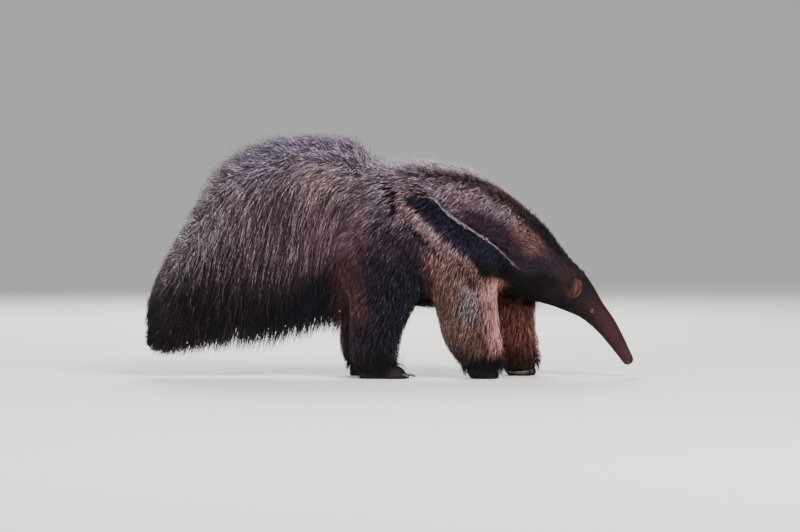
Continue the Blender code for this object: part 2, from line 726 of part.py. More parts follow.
def plume_locks(draw):
    wanted = []
    for side in (1, -1):
        for start, end, first, last, number, back, width in PLUME_ROWS:
            for k, x in enumerate(row_of(first, last, number, draw)):
                def line(root, tip, lift, length, side=side, stagger=PLUME_STAGGER * (k % 2)):
                    return plume_line(side, root, tip, lift + stagger, length)

                u = plume_section_at(x)
                root = (u, start + draw.uniform(-TURN_DRAW, TURN_DRAW))
                tip = (u + vary(draw, back, LENGTH_DRAW), end + draw.uniform(-TURN_DRAW, TURN_DRAW))
                wanted.append((line, root, tip, vary(draw, width, WIDTH_DRAW)))
        short, width = PLUME_END_LOCK
        for start, end in PLUME_END:
            root = (PLUME_CORE_END - PLUME_END_ROOT, start)
            tip = (len(PLUME) - 1 - short * draw.random() ** 2, end)
            wanted.append((line, root, tip, width))
    return wanted


def dress(target, name, slot):
    """Names a finished node, gives it its material, and shades it smooth but for its sharp edges."""
    target.name = name
    target.data.name = name
    target.data.materials.clear()
    target.data.materials.append(finish_of(slot))
    target.data.shade_smooth()
    target.data.set_sharp_from_angle(angle=SHARP)
    return target


def ball(name, centre, halves, segments=12, rings=7, turn=None):
    bm = bmesh.new()
    bmesh.ops.create_uvsphere(bm, u_segments=segments, v_segments=rings, radius=1)
    place = Matrix.Translation(centre) @ (turn or Matrix.Identity(4)) @ Matrix.Diagonal((*halves, 1))
    bmesh.ops.transform(bm, verts=bm.verts, matrix=place)
    return link(name, bm)


def torso_neck_and_head():
    """Parts the whole body with thin cuts, and returns the head."""
    whole = body(COAT_SHARE)
    head = boolean(trunk(COAT_SHARE), side_of_plane("ahead", HEAD_STATION, True, GAP / 2), "INTERSECT")
    neck = boolean(trunk(COAT_SHARE), side_of_plane("behind", HEAD_STATION, False, GAP / 2), "INTERSECT")
    boolean(neck, side_of_plane("ahead", NECK_STATION, True, GAP / 2), "INTERSECT")
    front = boolean(trunk(COAT_SHARE, GAP), side_of_plane("ahead", NECK_STATION, True, -GAP / 2), "INTERSECT")
    torso = boolean(copy_of(whole, "torso"), front, "DIFFERENCE")
    for part, _, _, _, cell in LIMBS:
        foot_top = FOREFOOT_TOP if part == "foreleg" else HINDFOOT_TOP
        for left in (True, False):
            name = f"{part}_{'left' if left else 'right'}"
            made = boolean(copy_of(whole, name), leg_cell(cell, left), "INTERSECT")
            boolean(made, block("floor", (-FAR, -FAR, -FAR), (FAR, FAR, foot_top + GAP)), "DIFFERENCE")
            keep_largest(made)
            dress(made, name, "leg_coat" if part == "foreleg" else "dark_coat")
            boolean(torso, leg_cell(cell, left, GAP), "DIFFERENCE")
            boolean(neck, leg_cell(cell, left, GAP), "DIFFERENCE")
    bpy.data.objects.remove(whole, do_unlink=True)
    dress(keep_largest(neck), "neck", "short_coat")
    dress(keep_largest(torso), "torso", "long_coat")
    return dress(keep_largest(head), "head", "short_coat")


def snout_section(back):
    """The section of the snout at a distance behind its tip: centre, up, ahead, half height, half width."""
    rows = trunk_rows()[::-1]
    gone = 0
    for near, far in zip(rows, rows[1:]):
        step = math.hypot(near[0] - far[0], near[1] - far[1])
        if gone + step >= back:
            t = (back - gone) / step
            x, z, high, wide, fall = (a + (b - a) * t for a, b in zip(near[:5], far[:5]))
            fall = math.radians(fall)
            up = Vector((math.sin(fall), 0, math.cos(fall)))
            return Vector((x, 0, z)), up, Vector((up.z, 0, -up.x)), high, wide
        gone += step
    raise ValueError("the snout is shorter than that")


def mouth_and_nostrils(head):
    """Lips along a slit at the end of the snout, and the two nostrils above it."""
    steps = [k / (LIP_RINGS - 1) for k in range(LIP_RINGS)]
    for sign in (1, -1):
        for lift in (1, -1):
            path = []
            for t in steps:
                centre, up, _, high, wide = snout_section(MOUTH_START + MOUTH_LENGTH * t)
                level = -MOUTH_DROP + lift * LIP_RADIUS
                beside = wide * math.sqrt(max(0, 1 - (level / high) ** 2)) - LIP_RADIUS * LIP_SUNK
                path.append(centre + up * level + Vector((0, sign * beside, 0)))
            swell = [LIP_RADIUS * math.sin(math.pi * (0.22 + 0.70 * t)) for t in steps]
            boolean(head, strand("lip", path, swell, swell, Vector((0, 1, 0)), 4), "UNION")
    centre, up, ahead, _, _ = snout_section(0)
    slit = block("slit", (-MOUTH_LENGTH, -0.05, -MOUTH_SLIT / 2), (MOUTH_LENGTH, 0.05, MOUTH_SLIT / 2))
    side = Vector((0, 1, 0))
    frame = Matrix((ahead, side, up)).transposed().to_4x4()
    slit.data.transform(Matrix.Translation(centre - up * MOUTH_DROP) @ frame)
    boolean(head, slit, "DIFFERENCE")
    for sign in (1, -1):
        place = centre + side * sign * NOSTRIL_PLACE[0] + up * NOSTRIL_PLACE[1]
        boolean(head, ball("nostril", place, NOSTRIL, 8, 6, frame), "DIFFERENCE")


def eyes(head):
    """Each eye in its socket, between two lids."""
    for sign, side in ((1, "left"), (-1, "right")):
        place = Vector((EYE_PLACE[0], sign * EYE_PLACE[1], EYE_PLACE[2]))
        fall = math.radians(TRUNK[HEAD_STATION + 2][4])
        along = Vector((math.cos(fall), 0, -math.sin(fall)))
        up = Vector((math.sin(fall), 0, math.cos(fall)))
        for lift in (1, -1):
            path = []
            roll = []
            for k in range(LID_RINGS):
                turn = math.pi * k / (LID_RINGS - 1)
                out = LID_OUT[0] + LID_OUT[1] * math.sin(turn)
                path.append(
                    place + along * LID[0] * math.cos(turn) + up * lift * LID[1] * math.sin(turn)
                    + Vector((0, sign * out, 0))
                )
                roll.append(LID[2] * (0.45 + 0.55 * math.sin(turn)))
            boolean(head, strand("lid", path, roll, roll, Vector((0, 1, 0)), 4, False), "UNION")
        boolean(head, ball("socket", place, (EYE_RADIUS + GAP,) * 3, 12, 7), "DIFFERENCE")
        dress(ball("eye", place, (EYE_RADIUS,) * 3), f"eye_{side}", "eye")


def ears():
    """Cup-shaped ears, cut at the foot by the head."""
    for sign, side in ((1, "left"), (-1, "right")):
        bm = bmesh.new()
        bmesh.ops.create_uvsphere(bm, u_segments=12, v_segments=8, radius=1)
        bmesh.ops.transform(bm, verts=bm.verts, matrix=Matrix.Diagonal((*EAR_HALF, 1)))
        bmesh.ops.bisect_plane(
            bm, geom=bm.verts[:] + bm.edges[:] + bm.faces[:],
            plane_co=EAR_OPENING[0], plane_no=EAR_OPENING[1], clear_outer=True,
        )
        ear = link("ear", bm)
        wall = ear.modifiers.new("wall", "SOLIDIFY")
        wall.thickness = EAR_WALL
        wall.offset = 0
        apply_modifiers(ear)
        turn = Matrix.Identity(4)
        for axis, angle in zip("XYZ", EAR_TURN):
            turn = Matrix.Rotation(math.radians(angle), 4, axis) @ turn
        place = Matrix.Translation(EAR_PLACE) @ turn
        if sign < 0:
            place = Matrix.Diagonal((1, -1, 1, 1)) @ place
        ear.data.transform(place)
        if sign < 0:
            ear.data.flip_normals()
        boolean(ear, trunk(COAT_SHARE, GAP), "DIFFERENCE")
        dress(keep_largest(ear), f"ear_{side}", "ear_skin")


def forefoot_form(left, grow=0.0):
    """A closed fist on its knuckles, flat below."""
    x, half_length, half_width = FOREFOOT
    x += LEFT_FORELEG_STEP[-1] if left else 0
    sign = 1 if left else -1
    y = FORELEG_OUT * sign
    halves = (half_length + grow, half_width + grow, FOREFOOT_HEIGHT * FOREFOOT_BALL[1] + grow)
    foot = ball("forefoot", Vector((x, y, FOREFOOT_HEIGHT * FOREFOOT_BALL[0])), halves, 14, 9)
    for across, radius in KNUCKLES:
        ahead = half_length * math.sqrt(1 - (across / half_width) ** 2) - KNUCKLE_PLACE[0]
        place = Vector((x + ahead, y - sign * across, radius * KNUCKLE_PLACE[1]))
        boolean(foot, ball("knuckle", place, (radius + grow,) * 3, 8, 6), "UNION")
    return boolean(foot, block("room", (-FAR, -FAR, 0), (FAR, FAR, FOREFOOT_TOP + grow)), "INTERSECT")


def forefoot(left):
    side = "left" if left else "right"
    dress(forefoot_form(left), f"forefoot_{side}", "foot_skin")
    x, half_length, half_width = FOREFOOT
    x += LEFT_FORELEG_STEP[-1] if left else 0
    sign = 1 if left else -1
    for number, (height, length, radius) in enumerate(FORE_CLAWS, 1):
        path = []
        thick = []
        for k in range(CLAW_RINGS + 1):
            t = k / CLAW_RINGS
            turn = math.radians(FORE_CLAW_START) + t * (length + FORE_CLAW_SUNK) / half_width
            out = radius - FORE_CLAW_SUNK + FORE_CLAW_LIFT * t
            path.append(Vector((
                x + (half_length + out) * math.cos(turn),
                sign * (FORELEG_OUT - (half_width + out) * math.sin(turn)),
                height - FORE_CLAW_SAG[0] * math.sin(math.pi * t) * min(1, height / FORE_CLAW_SAG[1]),
            )))
            thick.append(radius * (1 - t) ** CLAW_TAPER)
        flat = [value * FORE_CLAW_WIDTH for value in thick]
        claw = strand("claw", path, thick, flat, Vector((0, 0, 1)), CLAW_SIDES)
        boolean(claw, forefoot_form(left, GAP), "DIFFERENCE")
        dress(keep_largest(claw), f"forefoot_{side}_claw_{number}", "claw")


def hindfoot_form(left, grow=0.0):
    """A flat sole from heel to toes."""
    heel = HINDFOOT_HEEL + (LEFT_HINDLEG_STEP[-1] if left else 0)
    sign = 1 if left else -1
    y = HINDLEG_OUT * sign
    above, below, middle = (HINDFOOT_HEIGHT * share for share in HINDFOOT_REACH)
    rings = []
    for along, tall, wide in blend_stations(HINDFOOT_SHAPE, RINGS_PER_SPAN):
        half = HINDFOOT_HALF_WIDTH * wide + grow
        reaches = (above * tall + grow, below * tall + grow, half, half)
        place = Vector((heel + along * HINDFOOT_LENGTH, y, middle))
        rings.append(ring(place, Vector((0, 0, 1)), Vector((0, 1, 0)), reaches, LEG_SIDES))
    foot = loft("hindfoot", rings)
    for across, short, _ in TOES:
        end = heel + HINDFOOT_LENGTH - short
        path = [Vector((end + dx + grow, y - sign * across, TOE_RADIUS * TOE_HEIGHT)) for dx, _ in TOE_RINGS]
        size = [TOE_RADIUS * part + grow for _, part in TOE_RINGS]
        boolean(foot, strand("toe", path, size, size, Vector((0, 1, 0)), 6, False), "UNION")
    return boolean(foot, block("room", (-FAR, -FAR, 0), (FAR, FAR, HINDFOOT_TOP + grow)), "INTERSECT")


def hindfoot(left):
    side = "left" if left else "right"
    dress(hindfoot_form(left), f"hindfoot_{side}", "foot_skin")
    heel = HINDFOOT_HEEL + (LEFT_HINDLEG_STEP[-1] if left else 0)
    sign = 1 if left else -1
    root, rise, fall = HIND_CLAW_ARC
    for number, (across, short, length) in enumerate(TOES, 1):
        end = heel + HINDFOOT_LENGTH - short - HIND_CLAW_SUNK
        path = []
        thick = []
        for k in range(CLAW_RINGS + 1):
            t = k / CLAW_RINGS
            path.append(Vector((
                end + (length + HIND_CLAW_SUNK) * t,
                sign * (HINDLEG_OUT - across * (1 + HIND_CLAW_SPLAY * t)),
                TOE_RADIUS * (root + rise * math.sin(math.pi * t) - fall * t * t),
            )))
            thick.append(HIND_CLAW_RADIUS * (1 - t) ** CLAW_TAPER)
        flat = [value * HIND_CLAW_WIDTH for value in thick]
        claw = strand("claw", path, flat, thick, Vector((0, 1, 0)), CLAW_SIDES)
        boolean(claw, hindfoot_form(left, GAP), "DIFFERENCE")
        dress(keep_largest(claw), f"hindfoot_{side}_claw_{number}", "claw")


def tail():
    made = plume_core()
    boolean(made, body(COAT_SHARE, GAP), "DIFFERENCE")
    return dress(keep_largest(made), "tail", "tail_coat")


def locks():
    """Sets the long coat on every node that carries it, the torso last, since it lies over legs and tail."""
    draw = random.Random(SEED)
    nodes = bpy.data.objects
    thighs_and_shoulders = []
    for left in (True, False):
        side = "left" if left else "right"
        set_locks(nodes[f"hindleg_{side}"], leg_locks("hindleg", left, HINDLEG_ROWS, LEG_LOCK_WIDTH, draw))
        set_locks(nodes[f"foreleg_{side}"], leg_locks("foreleg", left, FORELEG_ROWS, LEG_LOCK_WIDTH, draw))
        thighs_and_shoulders += leg_locks("hindleg", left, THIGH_ROWS, UPPER_LOCK_WIDTH, draw)
        thighs_and_shoulders += leg_locks("foreleg", left, SHOULDER_ROWS, UPPER_LOCK_WIDTH, draw)
    set_locks(nodes["tail"], plume_locks(draw))
    set_locks(nodes["torso"], thighs_and_shoulders + trunk_locks(draw) + crest_locks(CREST, draw))
    set_locks(nodes["neck"], crest_locks(NECK_CREST, draw))


def build():
    clear_scene()
    head = torso_neck_and_head()
    mouth_and_nostrils(head)
    eyes(head)
    ears()
    tail()
    for left in (True, False):
        forefoot(left)
        hindfoot(left)
    locks()


build()
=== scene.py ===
"""Giant anteater at life size, walking: skin, coat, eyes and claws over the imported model, in a plain studio.

Everything is in metres, in the frame of the model: +X towards the snout, +Y to the animal's left, +Z up.
"""

import math

import bpy
import numpy as np
from bpy.props import FloatProperty, FloatVectorProperty, IntProperty, PointerProperty
from mathutils import Matrix, Vector
from mathutils.bvhtree import BVHTree
from mathutils.kdtree import KDTree


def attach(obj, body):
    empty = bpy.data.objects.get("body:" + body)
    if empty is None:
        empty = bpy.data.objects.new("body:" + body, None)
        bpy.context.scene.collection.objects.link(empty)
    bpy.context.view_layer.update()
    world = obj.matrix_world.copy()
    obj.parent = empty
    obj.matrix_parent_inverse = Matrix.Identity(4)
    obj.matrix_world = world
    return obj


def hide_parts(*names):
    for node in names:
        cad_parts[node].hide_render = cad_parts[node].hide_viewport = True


bl_info = {
    "name": "Giant anteater",
    "version": (1, 0, 0),
    "blender": (4, 5, 0),
    "location": "View3D > Sidebar > Anteater",
    "description": "Builds the skin, the coat, the eyes and the claws of a giant anteater, and its studio",
    "category": "Add Mesh",
}

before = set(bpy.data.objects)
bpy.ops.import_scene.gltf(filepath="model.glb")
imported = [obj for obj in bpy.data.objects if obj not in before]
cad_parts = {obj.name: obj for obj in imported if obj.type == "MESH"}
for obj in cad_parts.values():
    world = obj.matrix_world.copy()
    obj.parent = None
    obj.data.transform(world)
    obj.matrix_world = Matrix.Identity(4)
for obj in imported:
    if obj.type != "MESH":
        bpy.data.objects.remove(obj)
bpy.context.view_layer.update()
bpy.ops.object.select_all(action="DESELECT")

# The trunk from rump to snout: x, z, half height, half width, fall of its axis in degrees,
# then the depth of the coat above, beside and below
TRUNK = (
    (-0.138, 0.496, 0.058, 0.046, 0, 0.030, 0.030, 0.030),
    (-0.106, 0.496, 0.113, 0.080, 0, 0.032, 0.030, 0.034),
    (-0.048, 0.493, 0.152, 0.108, 0, 0.035, 0.030, 0.042),
    (0.035, 0.470, 0.176, 0.122, 0, 0.042, 0.030, 0.052),
    (0.131, 0.458, 0.186, 0.126, 2, 0.048, 0.030, 0.056),
    (0.221, 0.448, 0.182, 0.122, 7, 0.040, 0.028, 0.044),
    (0.304, 0.429, 0.156, 0.108, 18, 0.029, 0.022, 0.026),
    (0.378, 0.394, 0.131, 0.088, 32, 0.022, 0.014, 0.012),
    (0.445, 0.349, 0.112, 0.072, 40, 0.021, 0.008, 0.005),
    (0.509, 0.314, 0.090, 0.060, 45, 0.009, 0.004, 0.003),
    (0.569, 0.281, 0.0735, 0.051, 48, 0.002, 0.002, 0.002),
    (0.604, 0.2545, 0.0610, 0.045, 50, 0, 0, 0),
    (0.650, 0.213, 0.0415, 0.036, 54, 0, 0, 0),
    (0.693, 0.166, 0.0330, 0.028, 56, 0, 0, 0),
    (0.725, 0.120, 0.0265, 0.0235, 57, 0, 0, 0),
    (0.747, 0.085, 0.0218, 0.0205, 58, 0, 0, 0),
    (0.765, 0.055, 0.0180, 0.0175, 58, 0, 0, 0),
    (0.7705, 0.0462, 0.0135, 0.0135, 58, 0, 0, 0),
    (0.7732, 0.0419, 0.0070, 0.0070, 58, 0, 0, 0),
)
HEAD_STATION = 10  # the head starts at this station of the trunk
HEAD_WAY = (0.68, -0.73)  # x and z of the way that it points
HEAD_BACK = 0.50  # what lies behind this x isn't on the head, and has the next as its place along it
NOT_HEAD = -0.20

# A foreleg from shoulder to knuckles: x, z, half length, half width, depth of the coat
FORELEG = (
    (0.285, 0.450, 0.085, 0.042, 0.020),
    (0.253, 0.365, 0.092, 0.050, 0.028),
    (0.240, 0.285, 0.077, 0.050, 0.034),
    (0.248, 0.214, 0.064, 0.046, 0.041),
    (0.260, 0.150, 0.054, 0.042, 0.047),
    (0.277, 0.099, 0.046, 0.039, 0.037),
    (0.290, 0.061, 0.040, 0.037, 0.022),
    (0.294, 0.036, 0.040, 0.036, 0.014),
)
FORELEG_OUT = 0.082  # from the middle plane to the leg's axis
# How far ahead of the right one the left leg is, at each station
LEFT_FORELEG_STEP = (0.060, 0.110, 0.128, 0.126, 0.122, 0.122, 0.124, 0.124)

# A hind leg from hip to heel, in the same columns
HINDLEG = (
    (-0.030, 0.464, 0.088, 0.036, 0.018),
    (-0.029, 0.368, 0.108, 0.048, 0.032),
    (-0.016, 0.278, 0.082, 0.046, 0.042),
    (-0.028, 0.208, 0.058, 0.042, 0.044),
    (-0.042, 0.144, 0.046, 0.037, 0.042),
    (-0.046, 0.086, 0.044, 0.035, 0.034),
    (-0.040, 0.048, 0.042, 0.034, 0.016),
    (-0.036, 0.028, 0.042, 0.034, 0.008),
)
HINDLEG_OUT = 0.080
LEFT_HINDLEG_STEP = (-0.010, -0.015, -0.025, -0.030, -0.032, -0.032, -0.032, -0.032)
LEG_COAT_BESIDE = 0.8  # depth of a leg's coat on its outer side, as a share of that ahead and behind
FORELEG_TOP = (0.37, 0.30)  # heights where a leg's lie and colours start, and where they have taken over
HINDLEG_TOP = (0.40, 0.31)
INNER_FACE = 0.0185  # how near to the middle plane a leg's coat comes
INNER_COAT = 0.014  # and how deep it is there

# The plume of the tail, in upright sections from its root back to its end: x, z of the hair's top,
# z of its foot, half thickness, z of the tail's own flesh, from which the hair spreads
PLUME = (
    (0.010, 0.690, 0.560, 0.030, 0.600),
    (-0.055, 0.716, 0.480, 0.034, 0.560),
    (-0.095, 0.752, 0.350, 0.055, 0.566),
    (-0.130, 0.767, 0.172, 0.070, 0.576),
    (-0.218, 0.777, 0.148, 0.084, 0.604),
    (-0.307, 0.777, 0.128, 0.090, 0.600),
    (-0.400, 0.761, 0.106, 0.090, 0.566),
    (-0.493, 0.723, 0.098, 0.086, 0.495),
    (-0.566, 0.662, 0.090, 0.078, 0.410),
    (-0.614, 0.582, 0.082, 0.068, 0.335),
    (-0.662, 0.492, 0.074, 0.056, 0.270),
    (-0.720, 0.381, 0.072, 0.042, 0.215),
    (-0.762, 0.272, 0.088, 0.026, 0.180),
    (-0.774, 0.180, 0.120, 0.010, 0.150),
)
PLUME_PRESS = 0.45  # how much closer hair over the plume's top lies to it
PLUME_CORE = (0.40, 0.52)  # how far the skin under the plume reaches, in height and in width
PLUME_CORE_START = 1.0
PLUME_CORE_END = 10.6  # the section where they end
PLUME_CORE_TAPER = 3.0  # sections over which they thin to a third

# Skin: how far it stands into the coat, spacing of its rings and number of its sides
SKIN_DEPTH = 0.15
RING_SPACING = 0.0060
HEAD_SPACING = 0.0020
TRUNK_SIDES = 96
LEG_SIDES = 48
PLUME_SIDES = 48

# Head
EYE_RADIUS = 0.0068
EYE_PLACE = (0.6480, 0.0310, 0.2135)
EAR_PLACE = (0.5970, 0.0455, 0.2812)
EAR_HALF = (0.0140, 0.0100, 0.0290)
EAR_WALL = 0.0026
EAR_RIM = 0.3  # width of the bevel round its edge, as a share of the wall
EAR_TURN = (8, 22, 18)  # degrees about X, Y and Z, on the left side
EAR_OPENING = ((0.003, 0.0035, 0), (0.55, 0.80, 0.22))  # a point of the cup's rim, the way that it faces
LID = (0.0096, 0.0060, 0.0022)  # half length, half height, radius of its roll
LID_OUT = (0.0030, 0.0028)  # beside the eye's middle at its corners, and how much more between
MOUTH_LENGTH = 0.034
MOUTH_DROP = 0.0040  # below the middle of the snout
MOUTH_SLIT = 0.0010
MOUTH_START = 0.004
LIP_RADIUS = 0.0018
NOSTRIL = (0.0050, 0.0021, 0.0032)  # half depth, half width, half height
NOSTRIL_PLACE = (0.0052, 0.0046)  # beside and above the middle of the snout's end

# Feet
FOREFOOT = (0.297, 0.050, 0.040)  # x of its middle, half length, half width
FOREFOOT_HEIGHT = 0.088
FOREFOOT_BALL = (0.42, 0.60)  # height of its middle, half height, as shares of the whole
KNUCKLES = ((-0.027, 0.0140), (-0.010, 0.0160), (0.009, 0.0160), (0.026, 0.0140))  # place across, radius
KNUCKLE_PLACE = (0.012, 0.85)  # behind the front face, height as a share of the radius
# The claws of a forefoot turn in and back beside its fist: height, length, root radius
FORE_CLAWS = (
    (0.0535, 0.034, 0.0044),
    (0.0375, 0.062, 0.0072),
    (0.0165, 0.068, 0.0085),
    (0.0640, 0.024, 0.0036),
)
FORE_CLAW_START = 38  # degrees from straight ahead
FORE_CLAW_SUNK = 0.010
FORE_CLAW_LIFT = 0.012  # how far the tip stands off the fist
FORE_CLAW_SAG = (0.010, 0.03)  # how far it bends down, and the height below which it bends less
FORE_CLAW_WIDTH = 0.8
HINDFOOT_HEEL = -0.094
HINDFOOT_LENGTH = 0.158
HINDFOOT_HALF_WIDTH = 0.037
HINDFOOT_HEIGHT = 0.074
# Sections from heel to toes: place along, height and half width, as shares of the whole
HINDFOOT_SHAPE = (
    (0.0, 0.35, 0.30),
    (0.12, 0.80, 0.72),
    (0.35, 1.0, 0.85),
    (0.60, 0.72, 0.95),
    (0.80, 0.46, 0.96),
    (0.90, 0.30, 0.80),
)
# Above and below its middle, and height of the middle, as shares of its height
HINDFOOT_REACH = (0.90, 0.35, 0.10)
TOE_RADIUS = 0.0095
TOE_RINGS = ((-0.055, 0.85), (-0.024, 1.05), (-0.007, 0.95), (0.0, 0.45))  # from the end, share of radius
TOE_HEIGHT = 0.80  # of its middle, as a share of the radius
# The toes of a hind foot, from the outer one in: place across, end short of the longest, claw length
TOES = (
    (-0.030, 0.018, 0.017),
    (-0.016, 0.005, 0.023),
    (0.000, 0.0, 0.025),
    (0.016, 0.004, 0.023),
    (0.030, 0.016, 0.017),
)
HIND_CLAW_RADIUS = 0.0050
HIND_CLAW_SUNK = 0.006
HIND_CLAW_ARC = (1.05, 0.30, 0.65)  # height at the root, rise, fall to the tip, as shares of a toe's radius
HIND_CLAW_SPLAY = 0.10
HIND_CLAW_WIDTH = 0.75
CLAW_TAPER = 0.6
CLAW_TIP = 0.0003  # radius of the tip
CLAW_RINGS = 16
CLAW_SIDES = 16
FOOT_VOXEL = 0.0022
FOOT_SMOOTHING = 6

# Markings, as lines on the side view: x, z along each
WEDGE_TOP = ((0.054, 0.572), (0.134, 0.572), (0.182, 0.525), (0.246, 0.480), (0.307, 0.442), (0.358, 0.400),
             (0.413, 0.346), (0.500, 0.292), (0.580, 0.245))
WEDGE_FOOT = ((0.064, 0.547), (0.076, 0.521), (0.110, 0.484), (0.141, 0.452), (0.172, 0.430), (0.209, 0.397),
              (0.240, 0.376), (0.270, 0.344), (0.296, 0.310), (0.326, 0.284), (0.360, 0.268), (0.420, 0.200))
WHITE_LINE = (0.0032, 0.136, 0.415)  # width, x where it starts and where it ends

# Coat: the ways that it lies, and its lengths and depths
LIE_DOWN = (-0.30, 0, -1)
LIE_CREST = (-0.50, 0, -0.70)  # beside the mane
LIE_LINE = (-0.80, 0, 0.62)  # over the white line
LIE_FORELEG = (-0.22, 0, -1)
LIE_HINDLEG = (-0.30, 0, -1)
LIE_FOOT = (0.45, 0, -0.60)
LIE_EAR = (-0.3, 0, 1)
LEG_TURN_OUT = 0.15
COAT_LENGTH = (0.027, 0.040)  # on the neck, and how much more behind it
COAT_LONGER = 0.25  # share by which it is longer along the belly
COAT_SHORTER = 0.58  # and shorter beside the edges of the wedge
COAT_SHORTER_REACH = (0.050, 0.012)
LEG_LENGTH = 0.026  # past the depth of a leg's coat
LEG_DEPTH = 0.95
LEG_FREE = 0.25
HEAD_LENGTH = (0.0076, 0.015, 0.0026)  # on the head, how much more on the neck, how much less on the snout
FOOT_LENGTH = 0.011
EAR_LENGTH = 0.0045
SHORT_DEPTH = (0.0006, 0.045)  # and its rise with the length
SHORT_WIDTH = (0.0006, 0.034)
EYE_ROOM = 0.0105  # no short hair grows nearer to the middle of an eye

# Mane: share of its tufts that stand out, their height and that of the others, against the coat's depth
MANE_HEIGHTS = (0.35, 1.28, 0.95)
MANE_LEAN = (28, 56, 12)  # degrees off the skin, and how much more at the back of the head

# Plume: shares of its tufts in the fringe at its foot and in its crest, how deep these two reach, share
# that reaches its outer face
FRINGE_SHARE = 0.27
CREST_SHARE = 0.13
FRINGE_REACH = 0.45
CREST_REACH = 0.30
FULL_SHARE = 0.68
# Place of a tuft's tip, from the plume's foot to its top, against how far ahead of it the root lies,
# in sections, and how far up or down
ROOT_BACK = ((-1, -0.5, 0.2, 0.7, 1), (0.35, 0.55, 1.0, 1.3, 1.2))
ROOT_SHIFT = ((-1, -0.6, 0.1, 0.5, 0.8, 1), (0.35, 0.42, 0.42, 0.12, -0.25, -0.45))
WISP_SPAN = (-0.62, -0.04)
WISP_RANGES = ((0.80, 1), (1.03, 1.16), (0, 1), (0.0008, 0.0014))  # height, reach, spread and width

SUNK = 0.0015  # how deep a tuft's root lies in the skin
GROUND = 0.0012  # the coat comes no nearer to the floor
TUFT_LIMIT = 195000  # triangles in one piece of the coat
STAND_POINTS = 5  # along a tuft that stands off the skin
LINE_POINTS = 4  # along a hair of the white lines
PATCH = 0.003  # size of a tuft on the map for baking
SEED = 7

# Studio: name, place and size of each light, and what the lights and the camera look at
LIGHTS = (
    ("key", (2.6, -4.2, 4.4), 3.0),
    ("fill", (-4.0, -3.6, 2.4), 4.0),
    ("rim", (-0.6, 4.4, 3.8), 3.0),
)
LIGHTS_AIM = (0, 0, 0.35)
CAMERA_AIM = (0.035, 0, 0.355)
SENSOR = 36  # millimetres
SKY = (0.86, 0.88, 0.90, 1)
SKY_STRENGTH = 0.55
FLOOR_SIZE = 60
FLOOR_MIDDLE = (0, -12, 0)
BACKDROP_HEIGHT = 14
BEND_SEGMENTS = 24

SIDES = ((1, "left"), (-1, "right"))
SOFT_NODES = ("head", "neck", "torso", "tail") + tuple(
    f"{part}_{side}" for part in ("foreleg", "hindleg", "forefoot", "hindfoot", "ear") for _, side in SIDES
)


# Forms

def smooth(low, high, value):
    """0 below low and 1 above high, with a soft rise between them."""
    t = np.clip((value - low) / (high - low), 0, 1)
    return t * t * (3 - 2 * t)


def stations(table, places):
    """The rows of a table at whole or part stations, on a smooth curve through each column."""
    rows = np.asarray(table, float)
    low = np.clip(np.floor(places).astype(int), 0, len(rows) - 2)
    t = np.clip(places - low, 0, 1)[:, None]
    a, b, c, d = (rows[np.clip(low + k, 0, len(rows) - 1)] for k in (-1, 0, 1, 2))
    return 0.5 * (2 * b + (c - a) * t + (2 * a - 5 * b + 4 * c - d) * t**2 + (3 * b - a - 3 * c + d) * t**3)


def columns(*values):
    """Numbers or arrays side by side, as the columns of points."""
    return np.stack(np.broadcast_arrays(*values), -1).astype(float)


def trunk_sections(places, depth):
    """Centre, up, side and reaches of the trunk at part stations: depth is 0 on the skin, 1 at the tips."""
    x, z, high, wide, fall, top, beside, under = stations(TRUNK, places).T
    fall = np.radians(fall)
    out = wide + depth * beside
    return (columns(x, 0, z), columns(np.sin(fall), 0, np.cos(fall)), np.array((0.0, 1.0, 0.0)),
            (high + depth * top, high + depth * under, out, out))


def leg_rows(table, steps, left):
    """The rows of a leg's table, with the left leg's step."""
    rows = np.array(table)
    if left:
        rows[:, 0] += steps
    return rows


def leg_sections(rows, out, left, places, depth):
    """Centre, up, side and reaches of a leg at part stations."""
    x, z, half_length, half_width, coat = stations(rows, places).T
    sign = 1 if left else -1
    long = half_length + depth * coat
    wide = half_width + depth * coat * LEG_COAT_BESIDE
    inside = np.minimum(wide, out - INNER_FACE - INNER_COAT * (1 - depth))
    return (columns(x, sign * out, z), np.array((1.0, 0, 0)), np.array((0.0, sign, 0)),
            (long, long, wide, inside))


def oval(sections, turn):
    """Points at turns round oval sections."""
    centre, up, side, (above, below, outside, inside) = sections
    rise = np.cos(turn)
    spread = np.sin(turn)
    rise = rise * np.where(rise > 0, above, below)
    spread = spread * np.where(spread > 0, outside, inside)
    return centre + up * rise[:, None] + side * spread[:, None]


def core_reach(places):
    """How far the plume's woolly core reaches up and down, and sideways, as shares of the whole."""
    ending = smooth(PLUME_CORE_END - PLUME_CORE_TAPER, PLUME_CORE_END, places)
    return PLUME_CORE[0] * (1 - 0.7 * ending), PLUME_CORE[1] * (1 - 0.6 * ending)


def plume_points(places, lift, spread):
    """Points of the plume: lift is 1 at the top of the hair, 0 at the flesh and -1 at the foot, and spread
    is 1 at the left face and -1 at the right one."""
    x, top, foot, half, flesh = stations(PLUME, places).T
    return columns(x, spread * half, flesh + lift * np.where(lift > 0, top - flesh, flesh - foot))


def plume_place(x):
    """Part stations of the plume at places along X."""
    return np.interp(-x, [-row[0] for row in PLUME], np.arange(len(PLUME)))


def even_places(table, spacing, ending, from_station):
    """Part stations of a table so that its rings are evenly spaced, closer from a station on."""
    rows = np.asarray(table)
    places = []
    for k, (near, far) in enumerate(zip(rows, rows[1:])):
        length = math.hypot(far[0] - near[0], far[1] - near[1])
        count = max(1, math.ceil(length / (ending if k >= from_station else spacing)))
        places += [k + j / count for j in range(count)]
    return np.array(places + [len(rows) - 1.0])


